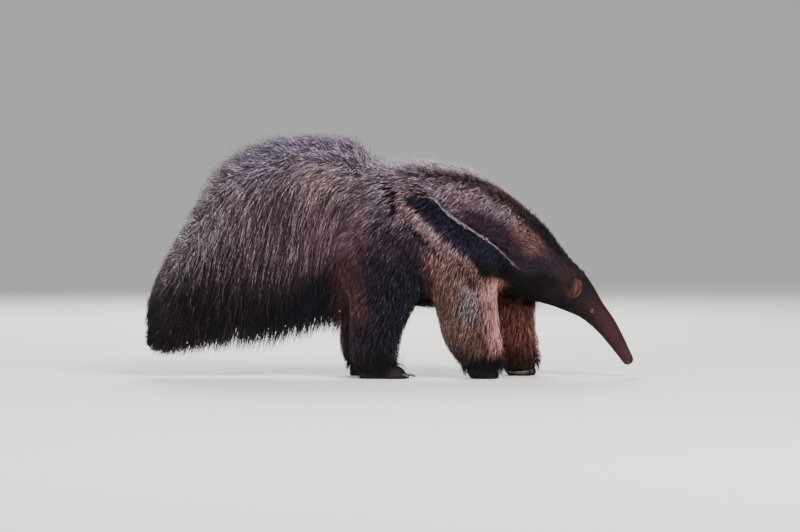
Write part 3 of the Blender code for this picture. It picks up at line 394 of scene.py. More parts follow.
def new_object(name, points, faces):
    """An object with a mesh of its own, at the origin."""
    mesh = bpy.data.meshes.new(name)
    mesh.from_pydata([tuple(p) for p in points], [], faces)
    mesh.update()
    made = bpy.data.objects.new(name, mesh)
    bpy.context.scene.collection.objects.link(made)
    return made


def activate(piece):
    """Makes a piece the only selected and the active one."""
    bpy.ops.object.select_all(action="DESELECT")
    piece.select_set(True)
    bpy.context.view_layer.objects.active = piece


def edit(piece, *steps):
    """Runs steps of edit mode on all of a piece."""
    activate(piece)
    bpy.ops.object.mode_set(mode="EDIT")
    bpy.ops.mesh.select_all(action="SELECT")
    for step, settings in steps:
        step(**settings)
    bpy.ops.object.mode_set(mode="OBJECT")
    return piece


def face_out(piece):
    """Turns every face outwards."""
    return edit(piece, (bpy.ops.mesh.normals_make_consistent, {"inside": False}))


def modify(piece, kind, **settings):
    """Adds a modifier and applies it."""
    step = piece.modifiers.new(kind.lower(), kind)
    for name, value in settings.items():
        setattr(step, name, value)
    activate(piece)
    bpy.ops.object.modifier_apply(modifier=step.name)


def tube(name, rings):
    """A closed form through rings of points."""
    count, sides = rings.shape[:2]
    points = np.concatenate((rings.reshape(-1, 3), rings[:1].mean(1), rings[-1:].mean(1)))
    faces = []
    for r in range(count - 1):
        near = r * sides
        far = near + sides
        faces += [(near + k, near + (k + 1) % sides, far + (k + 1) % sides, far + k) for k in range(sides)]
    last = (count - 1) * sides
    end = count * sides
    faces += [(end, (k + 1) % sides, k) for k in range(sides)]
    faces += [(end + 1, last + k, last + (k + 1) % sides) for k in range(sides)]
    return face_out(new_object(name, points, faces))


def rings_of(section_at, places, sides):
    """A grid of points round the sections at part stations."""
    turn = np.tile(np.arange(sides) * 2 * np.pi / sides, len(places))
    return oval(section_at(np.repeat(places, sides)), turn).reshape(len(places), sides, 3)


def strand(name, path, wide, thick, across, sides):
    """A tapering form along a path, with oval sections."""
    path = np.asarray(path, float)
    ahead = np.gradient(path, axis=0)
    ahead /= np.linalg.norm(ahead, axis=1)[:, None]
    beside = across - ahead * (ahead @ across)[:, None]
    beside /= np.linalg.norm(beside, axis=1)[:, None]
    over = np.cross(ahead, beside)
    turn = np.arange(sides) * 2 * np.pi / sides
    rings = path[:, None] + beside[:, None] * (np.outer(wide, np.cos(turn)))[..., None] \
        + over[:, None] * (np.outer(thick, np.sin(turn)))[..., None]
    return tube(name, rings)


def combine(target, other, operation):
    """Joins another form to target, or cuts it away, and removes it."""
    modify(target, "BOOLEAN", operation=operation, solver="MANIFOLD", object=other)
    bpy.data.objects.remove(other, do_unlink=True)


def ball(name, place, halves, turn=None, segments=32, rings=20):
    """A sphere, stretched, turned and moved. Its faces are sorted, because the primitive has them in another
    order in each run, and short hair is drawn by the order of the skin's faces."""
    bpy.ops.mesh.primitive_uv_sphere_add(segments=segments, ring_count=rings, radius=1)
    sphere = bpy.context.object
    faces = sorted(list(face.vertices) for face in sphere.data.polygons)
    made = new_object(name, read_points(sphere.data), faces)
    bpy.data.objects.remove(sphere, do_unlink=True)
    turn = turn or Matrix.Identity(4)
    made.data.transform(Matrix.Translation(place) @ turn @ Matrix.Diagonal((*halves, 1)))
    return made


def cube(name, low, high):
    """A box between two corners."""
    bpy.ops.mesh.primitive_cube_add(size=1)
    made = bpy.context.object
    made.name = name
    low = Vector(low)
    high = Vector(high)
    made.data.transform(Matrix.Translation((low + high) / 2) @ Matrix.Diagonal((*(high - low), 1)))
    return made


def legs():
    """Every leg: whether it is a foreleg, rows, distance from the middle plane, whether it is a left one."""
    for left in (True, False):
        yield True, leg_rows(FORELEG, LEFT_FORELEG_STEP, left), FORELEG_OUT, left
        yield False, leg_rows(HINDLEG, LEFT_HINDLEG_STEP, left), HINDLEG_OUT, left


def snout_frame(back):
    """The snout at a distance behind its tip: centre, up, ahead, half height, half width."""
    places = np.linspace(len(TRUNK) - 1, HEAD_STATION, 400)
    rows = stations(TRUNK, places)
    gone = np.concatenate(((0,), np.cumsum(np.hypot(*np.diff(rows[:, :2], axis=0).T))))
    x, z, high, wide, fall = (np.interp(back, gone, rows[:, k]) for k in range(5))
    fall = math.radians(fall)
    up = Vector((math.sin(fall), 0, math.cos(fall)))
    return Vector((x, 0, z)), up, Vector((up.z, 0, -up.x)), high, wide


def make_plume_core():
    """The flesh and woolly hair that the tail's tufts grow from."""
    places = np.arange(PLUME_CORE_START, PLUME_CORE_END + 0.01, 0.1)
    x, top, foot, half, flesh = stations(PLUME, places).T
    tall, wide = core_reach(places)
    sections = (columns(x, 0, flesh), np.array((0, 0, 1.0)), np.array((0, 1.0, 0)),
                (tall * (top - flesh), tall * (flesh - foot), wide * half, wide * half))

    def at(_):
        centre, up, side, reaches = sections
        reaches = tuple(np.repeat(reach, PLUME_SIDES) for reach in reaches)
        return np.repeat(centre, PLUME_SIDES, 0), up, side, reaches

    return tube("core", rings_of(at, places, PLUME_SIDES))


def ear_turn():
    """The way that the left ear is turned."""
    turn = Matrix.Identity(4)
    for axis, angle in zip("XYZ", EAR_TURN):
        turn = Matrix.Rotation(math.radians(angle), 4, axis) @ turn
    return turn


def make_ear(sign):
    """A cup cut from a hollow ball, with a rounded rim."""
    ear = ball("ear", (0, 0, 0), EAR_HALF)
    opening = {"plane_co": EAR_OPENING[0], "plane_no": EAR_OPENING[1], "clear_outer": True}
    edit(ear, (bpy.ops.mesh.bisect, opening))
    modify(ear, "SOLIDIFY", thickness=EAR_WALL, offset=0)
    modify(ear, "BEVEL", width=EAR_WALL * EAR_RIM, segments=2)
    ear.data.transform(Matrix.Diagonal((1, sign, 1, 1)) @ Matrix.Translation(EAR_PLACE) @ ear_turn())
    return face_out(ear)


def add_face(skin):
    """Lids round the sockets, lips along the slit of the mouth, and the nostrils."""
    fall = math.radians(TRUNK[HEAD_STATION + 2][4])
    along = np.array((math.cos(fall), 0, -math.sin(fall)))
    up = np.array((math.sin(fall), 0, math.cos(fall)))
    across = np.array((0, 1.0, 0))
    turn = np.linspace(0, np.pi, 25)
    for sign, _ in SIDES:
        place = np.array(EYE_PLACE) * (1, sign, 1)
        for lift in (1, -1):
            out = LID_OUT[0] + LID_OUT[1] * np.sin(turn)
            path = place + np.outer(np.cos(turn) * LID[0], along)
            path = path + np.outer(lift * np.sin(turn) * LID[1], up) + np.outer(sign * out, across)
            roll = LID[2] * (0.45 + 0.55 * np.sin(turn))
            combine(skin, strand("lid", path, roll, roll, across, 12), "UNION")
        combine(skin, ball("socket", place, (EYE_RADIUS + 0.0002,) * 3), "DIFFERENCE")
        steps = np.linspace(0, 1, 17)
        for lift in (1, -1):
            path = []
            for t in steps:
                centre, rise, _, high, wide = snout_frame(MOUTH_START + MOUTH_LENGTH * t)
                level = lift * LIP_RADIUS - MOUTH_DROP
                beside = wide * math.sqrt(max(0, 1 - (level / high) ** 2)) - LIP_RADIUS * 0.45
                path.append(centre + rise * level + Vector((0, sign * beside, 0)))
            swell = LIP_RADIUS * np.sin(np.pi * (0.20 + 0.72 * steps))
            combine(skin, strand("lip", path, swell, swell, across, 12), "UNION")
    centre, rise, ahead, _, _ = snout_frame(0)
    turned = Matrix((ahead, (0, 1, 0), rise)).transposed().to_4x4()
    slit = cube("slit", (-MOUTH_LENGTH, -0.05, -MOUTH_SLIT / 2), (MOUTH_LENGTH, 0.05, MOUTH_SLIT / 2))
    slit.data.transform(Matrix.Translation(centre - rise * MOUTH_DROP) @ turned)
    combine(skin, slit, "DIFFERENCE")
    for sign, _ in SIDES:
        place = centre + Vector((0, sign * NOSTRIL_PLACE[0], 0)) + rise * NOSTRIL_PLACE[1]
        combine(skin, ball("nostril", place, NOSTRIL, turned, 20, 14), "DIFFERENCE")


def melt(foot):
    """Blends the forms of a foot into one, flat below."""
    combine(foot, cube("room", (-2, -2, 0), (2, 2, 0.2)), "INTERSECT")
    modify(foot, "REMESH", mode="VOXEL", voxel_size=FOOT_VOXEL)
    modify(foot, "SMOOTH", iterations=FOOT_SMOOTHING)
    points = read_points(foot.data)
    points[:, 2] = np.maximum(points[:, 2] - FOOT_VOXEL * 0.25, 0)
    foot.data.vertices.foreach_set("co", points.ravel())
    return foot


def make_forefoot(left):
    """A closed fist on its knuckles."""
    x, half_length, half_width = FOREFOOT
    x += LEFT_FORELEG_STEP[-1] if left else 0
    sign = 1 if left else -1
    y = FORELEG_OUT * sign
    tall = FOREFOOT_HEIGHT * FOREFOOT_BALL[1]
    foot = ball("forefoot", (x, y, FOREFOOT_HEIGHT * FOREFOOT_BALL[0]), (half_length, half_width, tall))
    for across, radius in KNUCKLES:
        ahead = half_length * math.sqrt(1 - (across / half_width) ** 2) - KNUCKLE_PLACE[0]
        place = (x + ahead, y - sign * across, radius * KNUCKLE_PLACE[1])
        combine(foot, ball("knuckle", place, (radius,) * 3), "UNION")
    return melt(foot)


def make_hindfoot(left):
    """A flat sole from heel to toes."""
    heel = HINDFOOT_HEEL + (LEFT_HINDLEG_STEP[-1] if left else 0)
    sign = 1 if left else -1
    y = HINDLEG_OUT * sign
    above, below, middle = (HINDFOOT_HEIGHT * share for share in HINDFOOT_REACH)

    def at(places):
        along, tall, wide = stations(HINDFOOT_SHAPE, places).T
        half = HINDFOOT_HALF_WIDTH * wide
        centre = columns(heel + along * HINDFOOT_LENGTH, y, middle)
        reaches = (above * tall, below * tall, half, half)
        return centre, np.array((0, 0, 1.0)), np.array((0, 1.0, 0)), reaches

    foot = tube("hindfoot", rings_of(at, np.arange(0, len(HINDFOOT_SHAPE) - 0.9, 0.2), 32))
    for across, short, _ in TOES:
        end = heel + HINDFOOT_LENGTH - short
        path = [(end + dx, y - sign * across, TOE_RADIUS * TOE_HEIGHT) for dx, _ in TOE_RINGS]
        size = [TOE_RADIUS * part for _, part in TOE_RINGS]
        combine(foot, strand("toe", path, size, size, np.array((0, 1.0, 0)), 16), "UNION")
    return melt(foot)


def read(collection, name, width, kind=float):
    """One attribute of all of a mesh's parts, as rows."""
    values = np.empty(len(collection) * width, kind)
    collection.foreach_get(name, values)
    return values.reshape(-1, width)


def read_points(mesh):
    """The places of a mesh's points."""
    return read(mesh.vertices, "co", 3)


def finish_piece(piece, name, material, replaced=()):
    """Names a piece, and sets its finish, its body and the nodes it stands for."""
    piece.name = name
    piece.data.name = name
    piece.data.materials.clear()
    piece.data.materials.append(material)
    activate(piece)
    bpy.ops.object.shade_smooth()
    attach(piece, "root")
    if replaced:
        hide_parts(*replaced)
    piece.select_set(False)
    return piece


# Markings

def srgb(*values):
    """A colour from 0 to 255 as light."""
    values = np.array(values) / 255
    return np.where(values <= 0.04045, values / 12.92, ((values + 0.055) / 1.055) ** 2.4)


COOL = (1.02, 1.0, 1.11)  # how far the whole coat leans to violet


def region(hair, tips, share):
    """The colours of a region's hair and tips, and how strongly the tips show; the tips stand partly for
    painted glints.
    """
    return np.concatenate((srgb(*hair) * COOL, srgb(*tips) * COOL, (share,)))


REGIONS = {
    "back": region((66, 49, 58), (236, 214, 220), 0.48),
    "rump": region((74, 54, 62), (234, 210, 216), 0.60),
    "flank": region((44, 33, 42), (200, 176, 188), 0.36),
    "lower_flank": region((48, 33, 43), (130, 106, 120), 0.22),
    "belly": region((19, 15, 22), (66, 58, 76), 0.12),
    "thigh": region((31, 25, 36), (98, 86, 104), 0.19),
    "thigh_edge": region((76, 48, 48), (140, 106, 102), 0.32),
    "wedge": region((29, 28, 41), (84, 88, 118), 0.20),
    "band": region((118, 86, 86), (240, 206, 204), 0.60),
    "shoulder": region((102, 66, 62), (226, 180, 170), 0.50),
    "line": region((122, 102, 104), (236, 224, 226), 0.85),
    "neck": region((52, 35, 45), (92, 70, 84), 0.18),
    "under_mane": region((94, 72, 78), (224, 196, 200), 0.58),
    "rust": region((118, 74, 62), (212, 166, 150), 0.50),
    "mane": region((38, 28, 27), (156, 128, 114), 0.26),
    "mane_front": region((25, 17, 19), (96, 80, 74), 0.14),
    # The top of the mane: pale tips of its hair, brightened by a painted rim highlight
    "mane_back": region((90, 72, 80), (255, 240, 244), 0.82),
    "foreleg": region((86, 58, 49), (200, 158, 140), 0.45),
    "foreleg_edge": region((180, 118, 104), (252, 208, 194), 0.74),
    "foreleg_patch": region((60, 49, 55), (234, 214, 218), 0.64),
    "foreleg_inside": region((98, 56, 46), (182, 126, 106), 0.38),
    "wrist": region((24, 18, 20), (60, 48, 46), 0.10),
    "throat": region((15, 6, 8), (36, 24, 26), 0.05),
    "head": region((28, 9, 10), (74, 42, 40), 0.25),
    "snout": region((48, 23, 23), (104, 70, 66), 0.35),
    "ear": region((50, 28, 23), (92, 58, 48), 0.30),
    "ear_rim": region((84, 54, 45), (124, 90, 78), 0.30),
    # Painted shade in the front and lower part of the ear's hollow
    "ear_hollow_shade": region((34, 17, 14), (54, 32, 26), 0.10),
    "ear_inside": region((102, 54, 37), (138, 86, 62), 0.28),
    "foot": region((29, 21, 21), (60, 48, 46), 0.10),
    "ear_foot": region((60, 33, 26), (98, 60, 46), 0.30),
    "lid": region((84, 72, 88), (110, 96, 112), 0.20),
    "tail_top": region((54, 43, 55), (218, 200, 218), 0.48),
    "tail_middle": region((51, 37, 39), (206, 176, 176), 0.43),
    "tail_whorl": region((88, 68, 66), (236, 208, 198), 0.58),
    "tail_edge": region((58, 50, 51), (220, 202, 196), 0.54),
    "tail_front": region((98, 68, 78), (182, 152, 160), 0.42),
    "tail_low": region((24, 16, 23), (96, 78, 90), 0.11),
}


# The regions in the order in which they are painted: name, strength, then for each limit the field that
# it looks at, the value where the region starts to show and the value where it is full
BODY_LAYERS = (
    ("flank", 1, ("soft_z", 0.60, 0.52), ("soft_x", -0.12, -0.02)),
    ("back", 1, ("soft_z", 0.57, 0.63)),
    ("lower_flank", 1, ("flank_z", 0.52, 0.42)),
    ("belly", 1, ("soft_z", 0.40, 0.31)),
    ("thigh_edge", 0.6, ("soft_x", -0.05, -0.11), ("soft_x", -0.20, -0.15), ("soft_z", 0.47, 0.41)),
    ("shoulder", 1, ("shoulder_x", 0.085, 0.145), ("under", 0.0, 0.004), ("z", 0.28, 0.33),
     ("x", 0.36, 0.31)),
    ("band", 1, ("band_under", 0.072, 0.022), ("x", -0.010, 0.050), ("x", 0.27, 0.13),
     ("under", -0.090, -0.010)),
    ("band", 0.45, ("under", 0.034, 0.004), ("x", 0.13, 0.20), ("x", 0.33, 0.27)),
    ("neck", 1, ("over", -0.003, 0.003), ("x", 0.10, 0.15), ("neck_x", 0.15, 0.26)),
    ("under_mane", 0.95, ("turn", 0.42, 0.60), ("turn", 1.08, 0.80), ("x", 0.02, 0.12), ("x", 0.52, 0.38),
     ("soft_over", 0.030, 0.060)),
    ("rust", 0.75, ("rust", 0.078, 0.010)),
    ("mane", 1, ("soft_turn", 0.60, 0.42), ("x", 0.64, 0.56), ("x", 0.04, 0.14)),
    ("mane_front", 1, ("soft_turn", 0.60, 0.42), ("x", 0.64, 0.56), ("x", 0.38, 0.48)),
    # The very top of the mane, painted pale as a rim highlight on pale tips
    ("mane_back", 1, ("pale_turn", 1, 0.6), ("x", 0.52, 0.38), ("x", -0.06, 0.0)),
    ("wedge", 1, ("over", 0.001, -0.001), ("under", 0.002, -0.003), ("x", 0.048, 0.054)),
    ("throat", 1, ("throat_turn", 1.75, 2.15), ("x", 0.24, 0.30)),
    ("head", 1, ("ahead", -0.08, 0.0), ("turn", 2.5, 1.9)),
    ("snout", 1, ("ahead", 0.05, 0.16), ("turn", 2.9, 2.0)),
    ("throat", 0.75, ("turn", 1.6, 2.4), ("ahead", -0.02, 0.01), ("ahead", 0.16, 0.10)),
    ("ear_foot", 1, ("ear_far", 0.0180, 0.0060), ("aside", 0.028, 0.036)),
)
HINDLEG_LAYERS = (
    ("thigh_edge", 1, ("hind_front", -0.20, -0.75), ("z", 0.08, 0.24)),
)
FORELEG_LAYERS = (
    ("foreleg_edge", 1, ("front", 0.20, 0.75)),
    ("foreleg_patch", 0.9, ("patch", 1.15, 0.10), ("inner", 0.3, -0.2)),
    ("foreleg_inside", 1, ("inner", -0.1, 0.5)),
    ("wrist", 1, ("wrist_z", 0.068, 0.050), ("inner", 0.2, -0.2)),
)
FOOT_LAYERS = (
    ("foot", 1, ("foot_z", 0.060, 0.040), ("x", 0.55, 0.50)),
)
PLUME_LAYERS = (
    ("tail_front", 1, ("x", -0.33, -0.20), ("height", 0.66, 0.48)),
    ("tail_top", 1, ("height", 0.70, 0.92), ("x", -0.60, -0.45)),
    ("tail_edge", 1, ("x", -0.42, -0.60), ("height", 0.30, 0.60)),
    ("tail_whorl", 0.85, ("whorl", 0.100, 0.025)),
    ("tail_low", 1, ("low_z", 0.45, 0.235)),
)
DRIFT = 0.010  # how far the edges of soft regions wander
DRIFT_SIZES = (0.13, 0.11)
PLUME_JITTER = 0.028  # how far up or down a tuft of the plume takes its colour from
SHADE_MOTTLE = (0.16, 0.062)  # strength and size of the patches in the hair's shade
TIP_MOTTLE = (0.28, 0.075)  # and in how strongly the tips show
RUST_MIDDLE = (0.446, 0, 0.440)
RUST_FALL = (0.72, 0.69)  # cosine and sine of the patch's slope
RUST_STRETCH = (0.75, 1.5)
PATCH_MIDDLE = (0.05, 0.225)  # of the grey patch on a foreleg: share ahead of the axis, z
PATCH_HALF = (0.70, 0.090)
WHORL_MIDDLE = (-0.225, 0.632)
SHORT_LIGHTER = 1.60  # short hair against the skin that it lies on
EAR_FOOT_SHIFT = (0.012, 0.017)  # behind and below the ear
EAR_LEVEL = 0.255  # the cups of the ears stand above this and outside the next
EAR_ASIDE = 0.044
EAR_CUP = ((1.30, 1.20), (1.0, 0.97))  # where the outside of a cup and its inside show
# where the painted shade in the ear's hollow starts and where it is full
EAR_HOLLOW_SHADE = (-0.002, 0.006)
EAR_EDGE = (-0.0030, -0.0018)
EAR_FRONT = (-0.008, 0.0)
LID_REACH = (0.0112, 0.0092)
LID_STRENGTH = (0.12, 0.62)  # all round the eye, and how much more below it
LID_LEVEL = (0.001, -0.004)


def blend(base, name, share):
    """Lays one region over colours."""
    return base + (REGIONS[name] - base) * np.clip(share, 0, 1)[:, None]


def paint(colour, layers, fields):
    """Lays regions over colours, each as strong as its fields let it be."""
    for name, share, *limits in layers:
        for field, low, high in limits:
            share = share * smooth(low, high, fields[field])
        colour = blend(colour, name, share)
    return colour


def trunk_place(points):
    """Part stations and turns of points about the trunk."""
    places = np.linspace(0, len(TRUNK) - 1, 217)
    rows = stations(TRUNK, places)
    nearest = np.empty(len(points), int)
    for start in range(0, len(points), 20000):
        part = points[start:start + 20000]
        far = (part[:, None, 0] - rows[None, :, 0]) ** 2 + (part[:, None, 2] - rows[None, :, 1]) ** 2
        nearest[start:start + 20000] = far.argmin(1)
    fall = np.radians(rows[nearest, 4])
    off = points[:, (0, 2)] - rows[nearest, :2]
    height = off[:, 0] * np.sin(fall) + off[:, 1] * np.cos(fall)
    return places[nearest], np.arctan2(np.abs(points[:, 1]), height), fall


def leg_share(points, fore):
    """How much points belong to a foreleg or hind leg, and how far ahead and inside of its axis they are."""
    share = np.zeros(len(points))
    ahead = np.zeros(len(points))
    inner = np.zeros(len(points))
    for is_fore, rows, out, left in legs():
        if is_fore != fore:
            continue
        order = np.argsort(rows[:, 1])
        x, long, wide, coat = (np.interp(points[:, 2], rows[order, 1], rows[order, k]) for k in (0, 2, 3, 4))
        sign = 1 if left else -1
        dx = (points[:, 0] - x) / (long + coat)
        dy = (points[:, 1] * sign - out) / (wide + coat)
        here = smooth(1.30, 0.95, np.hypot(dx, dy))
        better = here > share
        share = np.where(better, here, share)
        ahead = np.where(better, dx, ahead)
        inner = np.where(better, -dy, inner)
    return share * smooth(*(FORELEG_TOP if fore else HINDLEG_TOP), points[:, 2]), ahead, inner


def line_at(line, x):
    """The height of a line of the side view at places along X."""
    curve = stations(line, np.linspace(0, len(line) - 1, 8 * len(line)))
    return np.interp(x, curve[:, 0], curve[:, 1])


def ahead_of_neck(points):
    """How far a place lies in front of the start of the head, along the head."""
    x, _, z = points.T
    far = (x - TRUNK[HEAD_STATION][0]) * HEAD_WAY[0] + (z - TRUNK[HEAD_STATION][1]) * HEAD_WAY[1]
    return np.where(x > HEAD_BACK, far, NOT_HEAD)


def ear_place(points):
    """Where points stand in the cup of the nearer ear, 1 on its wall and less within, and how far before
    its rim."""
    turned = ear_turn().to_3x3().inverted()
    moved = points * columns(1, np.where(points[:, 1] < 0, -1, 1), 1) - np.array(EAR_PLACE)
    local = moved @ np.array(turned).T
    out = np.linalg.norm(local / np.array(EAR_HALF), axis=1)
    facing = unit(np.array(EAR_OPENING[1], float))
    return out, (local - np.array(EAR_OPENING[0])) @ facing


def plume_share(points):
    """How much a place belongs to the tail, and not to the rump or a leg."""
    x, _, z = points.T
    return smooth(-0.050, -0.150, x) * smooth(0.36, 0.44, z + 0.9 * np.maximum(0, -0.19 - x))


def mottle(points, size):
    """Soft, uneven patches from -1 to 1, about as large as size."""
    x, y, z = points.T * (2 * np.pi / size)
    return 0.42 * (np.sin(x * 0.9 + z * 0.5 + y * 0.6 + 1.3)
                   + np.sin(z * 1.1 - x * 0.4 + 2.1 * np.sin(x * 0.31 + y))
                   + np.sin(0.7 * x + 0.8 * y - 0.9 * z + 1.7 * np.sin(z * 0.37 + 4)))


def markings(points):
    """The colours of the coat at places on it: of the hair, of its tips, and how strongly the tips show; the
    tips stand partly for painted glints.
    """
    count = len(points)
    drift = columns(mottle(points, DRIFT_SIZES[0]), 0, mottle(points + 0.4, DRIFT_SIZES[1]))
    soft = points + DRIFT * drift
    x, y, z = points.T
    soft_x, _, soft_z = soft.T
    aside = y * np.where(y < 0, -1, 1)
    _, turn, _ = trunk_place(points)
    over = z - line_at(WEDGE_TOP, x)
    under = line_at(WEDGE_FOOT, x) - z
    along, _, rise = (soft - RUST_MIDDLE).T
    rust = np.hypot((along * RUST_FALL[0] - rise * RUST_FALL[1]) * RUST_STRETCH[0],
                    (along * RUST_FALL[1] + rise * RUST_FALL[0]) * RUST_STRETCH[1])
    hind_share, hind_front, _ = leg_share(soft, False)
    fore_share, front, inner = leg_share(points, True)
    front = front + 0.15 * drift[:, 0]
    fields = {
        "x": x,
        "z": z,
        "soft_x": soft_x,
        "soft_z": soft_z,
        "aside": aside,
        "turn": turn,
        "soft_turn": turn + 0.05 * drift[:, 2],
        "pale_turn": turn / (0.34 - 0.24 * smooth(0.20, 0.42, x)),
        "throat_turn": turn + 0.6 * smooth(0.42, 0.50, x),
        "over": over,
        "soft_over": soft_z - z + over,
        "under": under,
        "band_under": under + 1.2 * (soft_x - x),
        "flank_z": soft_z + 0.30 * np.maximum(0, -0.05 - soft_x),
        "shoulder_x": soft_x + 0.20 * (0.40 - z),
        "neck_x": soft_x + 0.35 * (0.50 - z),
        "rust": rust,
        "ahead": ahead_of_neck(points),
        "ear_far": np.hypot(x - EAR_PLACE[0] + EAR_FOOT_SHIFT[0],
                            (z - EAR_PLACE[2] + EAR_FOOT_SHIFT[1]) * 0.9),
        "hind_front": hind_front,
        "front": front,
        "inner": inner,
        "patch": np.hypot((front - PATCH_MIDDLE[0]) / PATCH_HALF[0],
                          (soft_z - PATCH_MIDDLE[1]) / PATCH_HALF[1]),
        "wrist_z": z - 0.008 * front,
        "foot_z": z + 0.018 * (x > 0.1),
    }
    colour = paint(np.tile(REGIONS["rump"], (count, 1)), BODY_LAYERS, fields)
    lid = smooth(*LID_REACH, np.linalg.norm(columns(x, aside, z) - EYE_PLACE, axis=1))
    below_eye = smooth(*LID_LEVEL, z - EYE_PLACE[2])
    colour = blend(colour, "lid", lid * (LID_STRENGTH[0] + LID_STRENGTH[1] * below_eye))
    hind = paint(np.tile(REGIONS["thigh"], (count, 1)), HINDLEG_LAYERS, fields)
    colour += (hind - colour) * hind_share[:, None]
    wedge = smooth(0.001, -0.001, over) * smooth(0.002, -0.003, under) * smooth(0.048, 0.054, x)
    fore_share = fore_share * (1 - wedge * smooth(0.29, 0.32, z))
    fore = paint(np.tile(REGIONS["foreleg"], (count, 1)), FORELEG_LAYERS, fields)
    colour += (fore - colour) * fore_share[:, None]
    colour = paint(colour, FOOT_LAYERS, fields)
    share = plume_share(points) * (1 - leg_share(points, False)[0])
    colour += (plume_markings(soft) - colour) * share[:, None]
    colour[:, :3] *= (1 + SHADE_MOTTLE[0] * mottle(points, SHADE_MOTTLE[1]))[:, None]
    colour[:, 6] *= 1 + TIP_MOTTLE[0] * mottle(points + 0.7, TIP_MOTTLE[1])
    out, before = ear_place(points)
    cup = smooth(*EAR_CUP[0], out) * (z > EAR_LEVEL)
    colour = blend(colour, "ear", cup * (aside > EAR_ASIDE))
    inside = cup * smooth(*EAR_CUP[1], out)
    colour = blend(colour, "ear_inside", inside)
    ahead = x - EAR_PLACE[0]
    # The front and lower part of the hollow inside an ear is darkened as painted shade
    colour = blend(colour, "ear_hollow_shade", inside * smooth(*EAR_HOLLOW_SHADE, ahead + 0.3 * (EAR_PLACE[2] - z)))
    return blend(colour, "ear_rim", cup * smooth(*EAR_EDGE, before) * (out > 0.8) * smooth(*EAR_FRONT, ahead))


def plume_markings(points):
    """The colours of the tail's hair at places in its plume."""
    x, _, z = points.T
    back, top, foot = np.array(PLUME)[:, :3].T
    top = np.interp(-x, -back, top)
    foot = np.interp(-x, -back, foot)
    fields = {
        "x": x,
        "height": (z - foot) / np.maximum(top - foot, 0.05),
        "whorl": np.hypot((x - WHORL_MIDDLE[0]) * 0.8, z - WHORL_MIDDLE[1]),
        "low_z": z + 0.04 * smooth(-0.62, -0.74, x),
    }
    return paint(np.tile(REGIONS["tail_middle"], (len(points), 1)), PLUME_LAYERS, fields)


# Finishes

class Value:
    """A socket of a node tree, with sums written as usual."""

    def __init__(self, tree, socket):
        self.tree = tree
        self.socket = socket

    def math(self, operation, *others):
        return self.tree.node("ShaderNodeMath", {"operation": operation}, self, *others)

    def __add__(self, other):
        return self.math("ADD", other)

    def __mul__(self, other):
        return self.math("MULTIPLY", other)

    def __sub__(self, other):
        return self.math("SUBTRACT", other)

    def __rsub__(self, other):
        return self.tree.node("ShaderNodeMath", {"operation": "SUBTRACT"}, other, self)

    def __pow__(self, other):
        return self.math("POWER", other)

    __radd__ = __add__
    __rmul__ = __mul__

    def between(self, low, high):
        """0 below low and 1 above high."""
        settings = {"interpolation_type": "SMOOTHSTEP"}
        return self.tree.node("ShaderNodeMapRange", settings, self, low, high, 0.0, 1.0)


class Finish:
    """One material, built node by node."""

    def __init__(self, name, **settings):
        self.material = bpy.data.materials.new(name)
        self.material.use_nodes = True
        self.nodes = self.material.node_tree.nodes
        self.links = self.material.node_tree.links
        self.shader = self.nodes["Principled BSDF"]
        for socket, value in settings.items():
            self.set(socket.replace("_", " ").title().replace("Ior", "IOR"), value)

    def plug(self, socket, value):
        """Links a socket to a value, or sets it to a number or colour. None leaves it as it is."""
        if isinstance(value, Value):
            self.links.new(value.socket, socket)
        elif value is not None:
            socket.default_value = value

    def node(self, kind, settings, *inputs, output=0, **named):
        """One node: its settings, its inputs in their order or by name, and which of its outputs is used."""
        made = self.nodes.new(kind)
        for key, value in settings.items():
            setattr(made, key, value)
        for socket, value in zip(made.inputs, inputs):
            self.plug(socket, value)
        for key, value in named.items():
            self.plug(made.inputs[key], value)
        return Value(self, made.outputs[output])

    def set(self, socket, value):
        self.plug(self.shader.inputs[socket], value)

    def attribute(self, name, output="Fac"):
        return self.node("ShaderNodeAttribute", {"attribute_name": name}, output=output)

    def place(self):
        return self.node("ShaderNodeTexCoord", {}, output="Object")

    def turned(self, place, rotation, scale):
        return self.node("ShaderNodeMapping", {}, place, Rotation=rotation, Scale=scale)

    def noise(self, place, scale, detail=3.0, rough=0.55):
        return self.node("ShaderNodeTexNoise", {}, Vector=place, Scale=scale, Detail=detail, Roughness=rough)

    def mix(self, share, first, second, kind="MIX"):
        """Mixes two colours, whose sockets stand after those for numbers and vectors."""
        settings = {"data_type": "RGBA", "blend_type": kind}
        return self.node("ShaderNodeMix", settings, share, *[None] * 5, first, second, output=2)

    def bump(self, height, strength, distance):
        bump = self.node("ShaderNodeBump", {}, Strength=strength, Distance=distance, Height=height)
        self.set("Normal", bump)


def grey(value):
    """A colour whose parts are one value, for multiplying."""
    return value.tree.node("ShaderNodeCombineColor", {}, value, value, value)


def skin_finish():
    """Short, flat hair in the colours of the markings."""
    made = Finish("coat_skin", roughness=0.62, specular_ior_level=0.2)
    place = made.place()
    strands = made.noise(made.turned(place, (0, math.radians(52), 0), (90, 620, 620)), 1.0, 4.0)
    patches = made.noise(place, 34, 2.0)
    shade = strands.between(0.30, 0.70) * 0.34 + patches * 0.30 + 0.62
    made.set("Base Color", made.mix(1.0, made.attribute("tint", "Color"), grey(shade), "MULTIPLY"))
    made.bump(strands, 0.5, 0.0007)
    return made.material


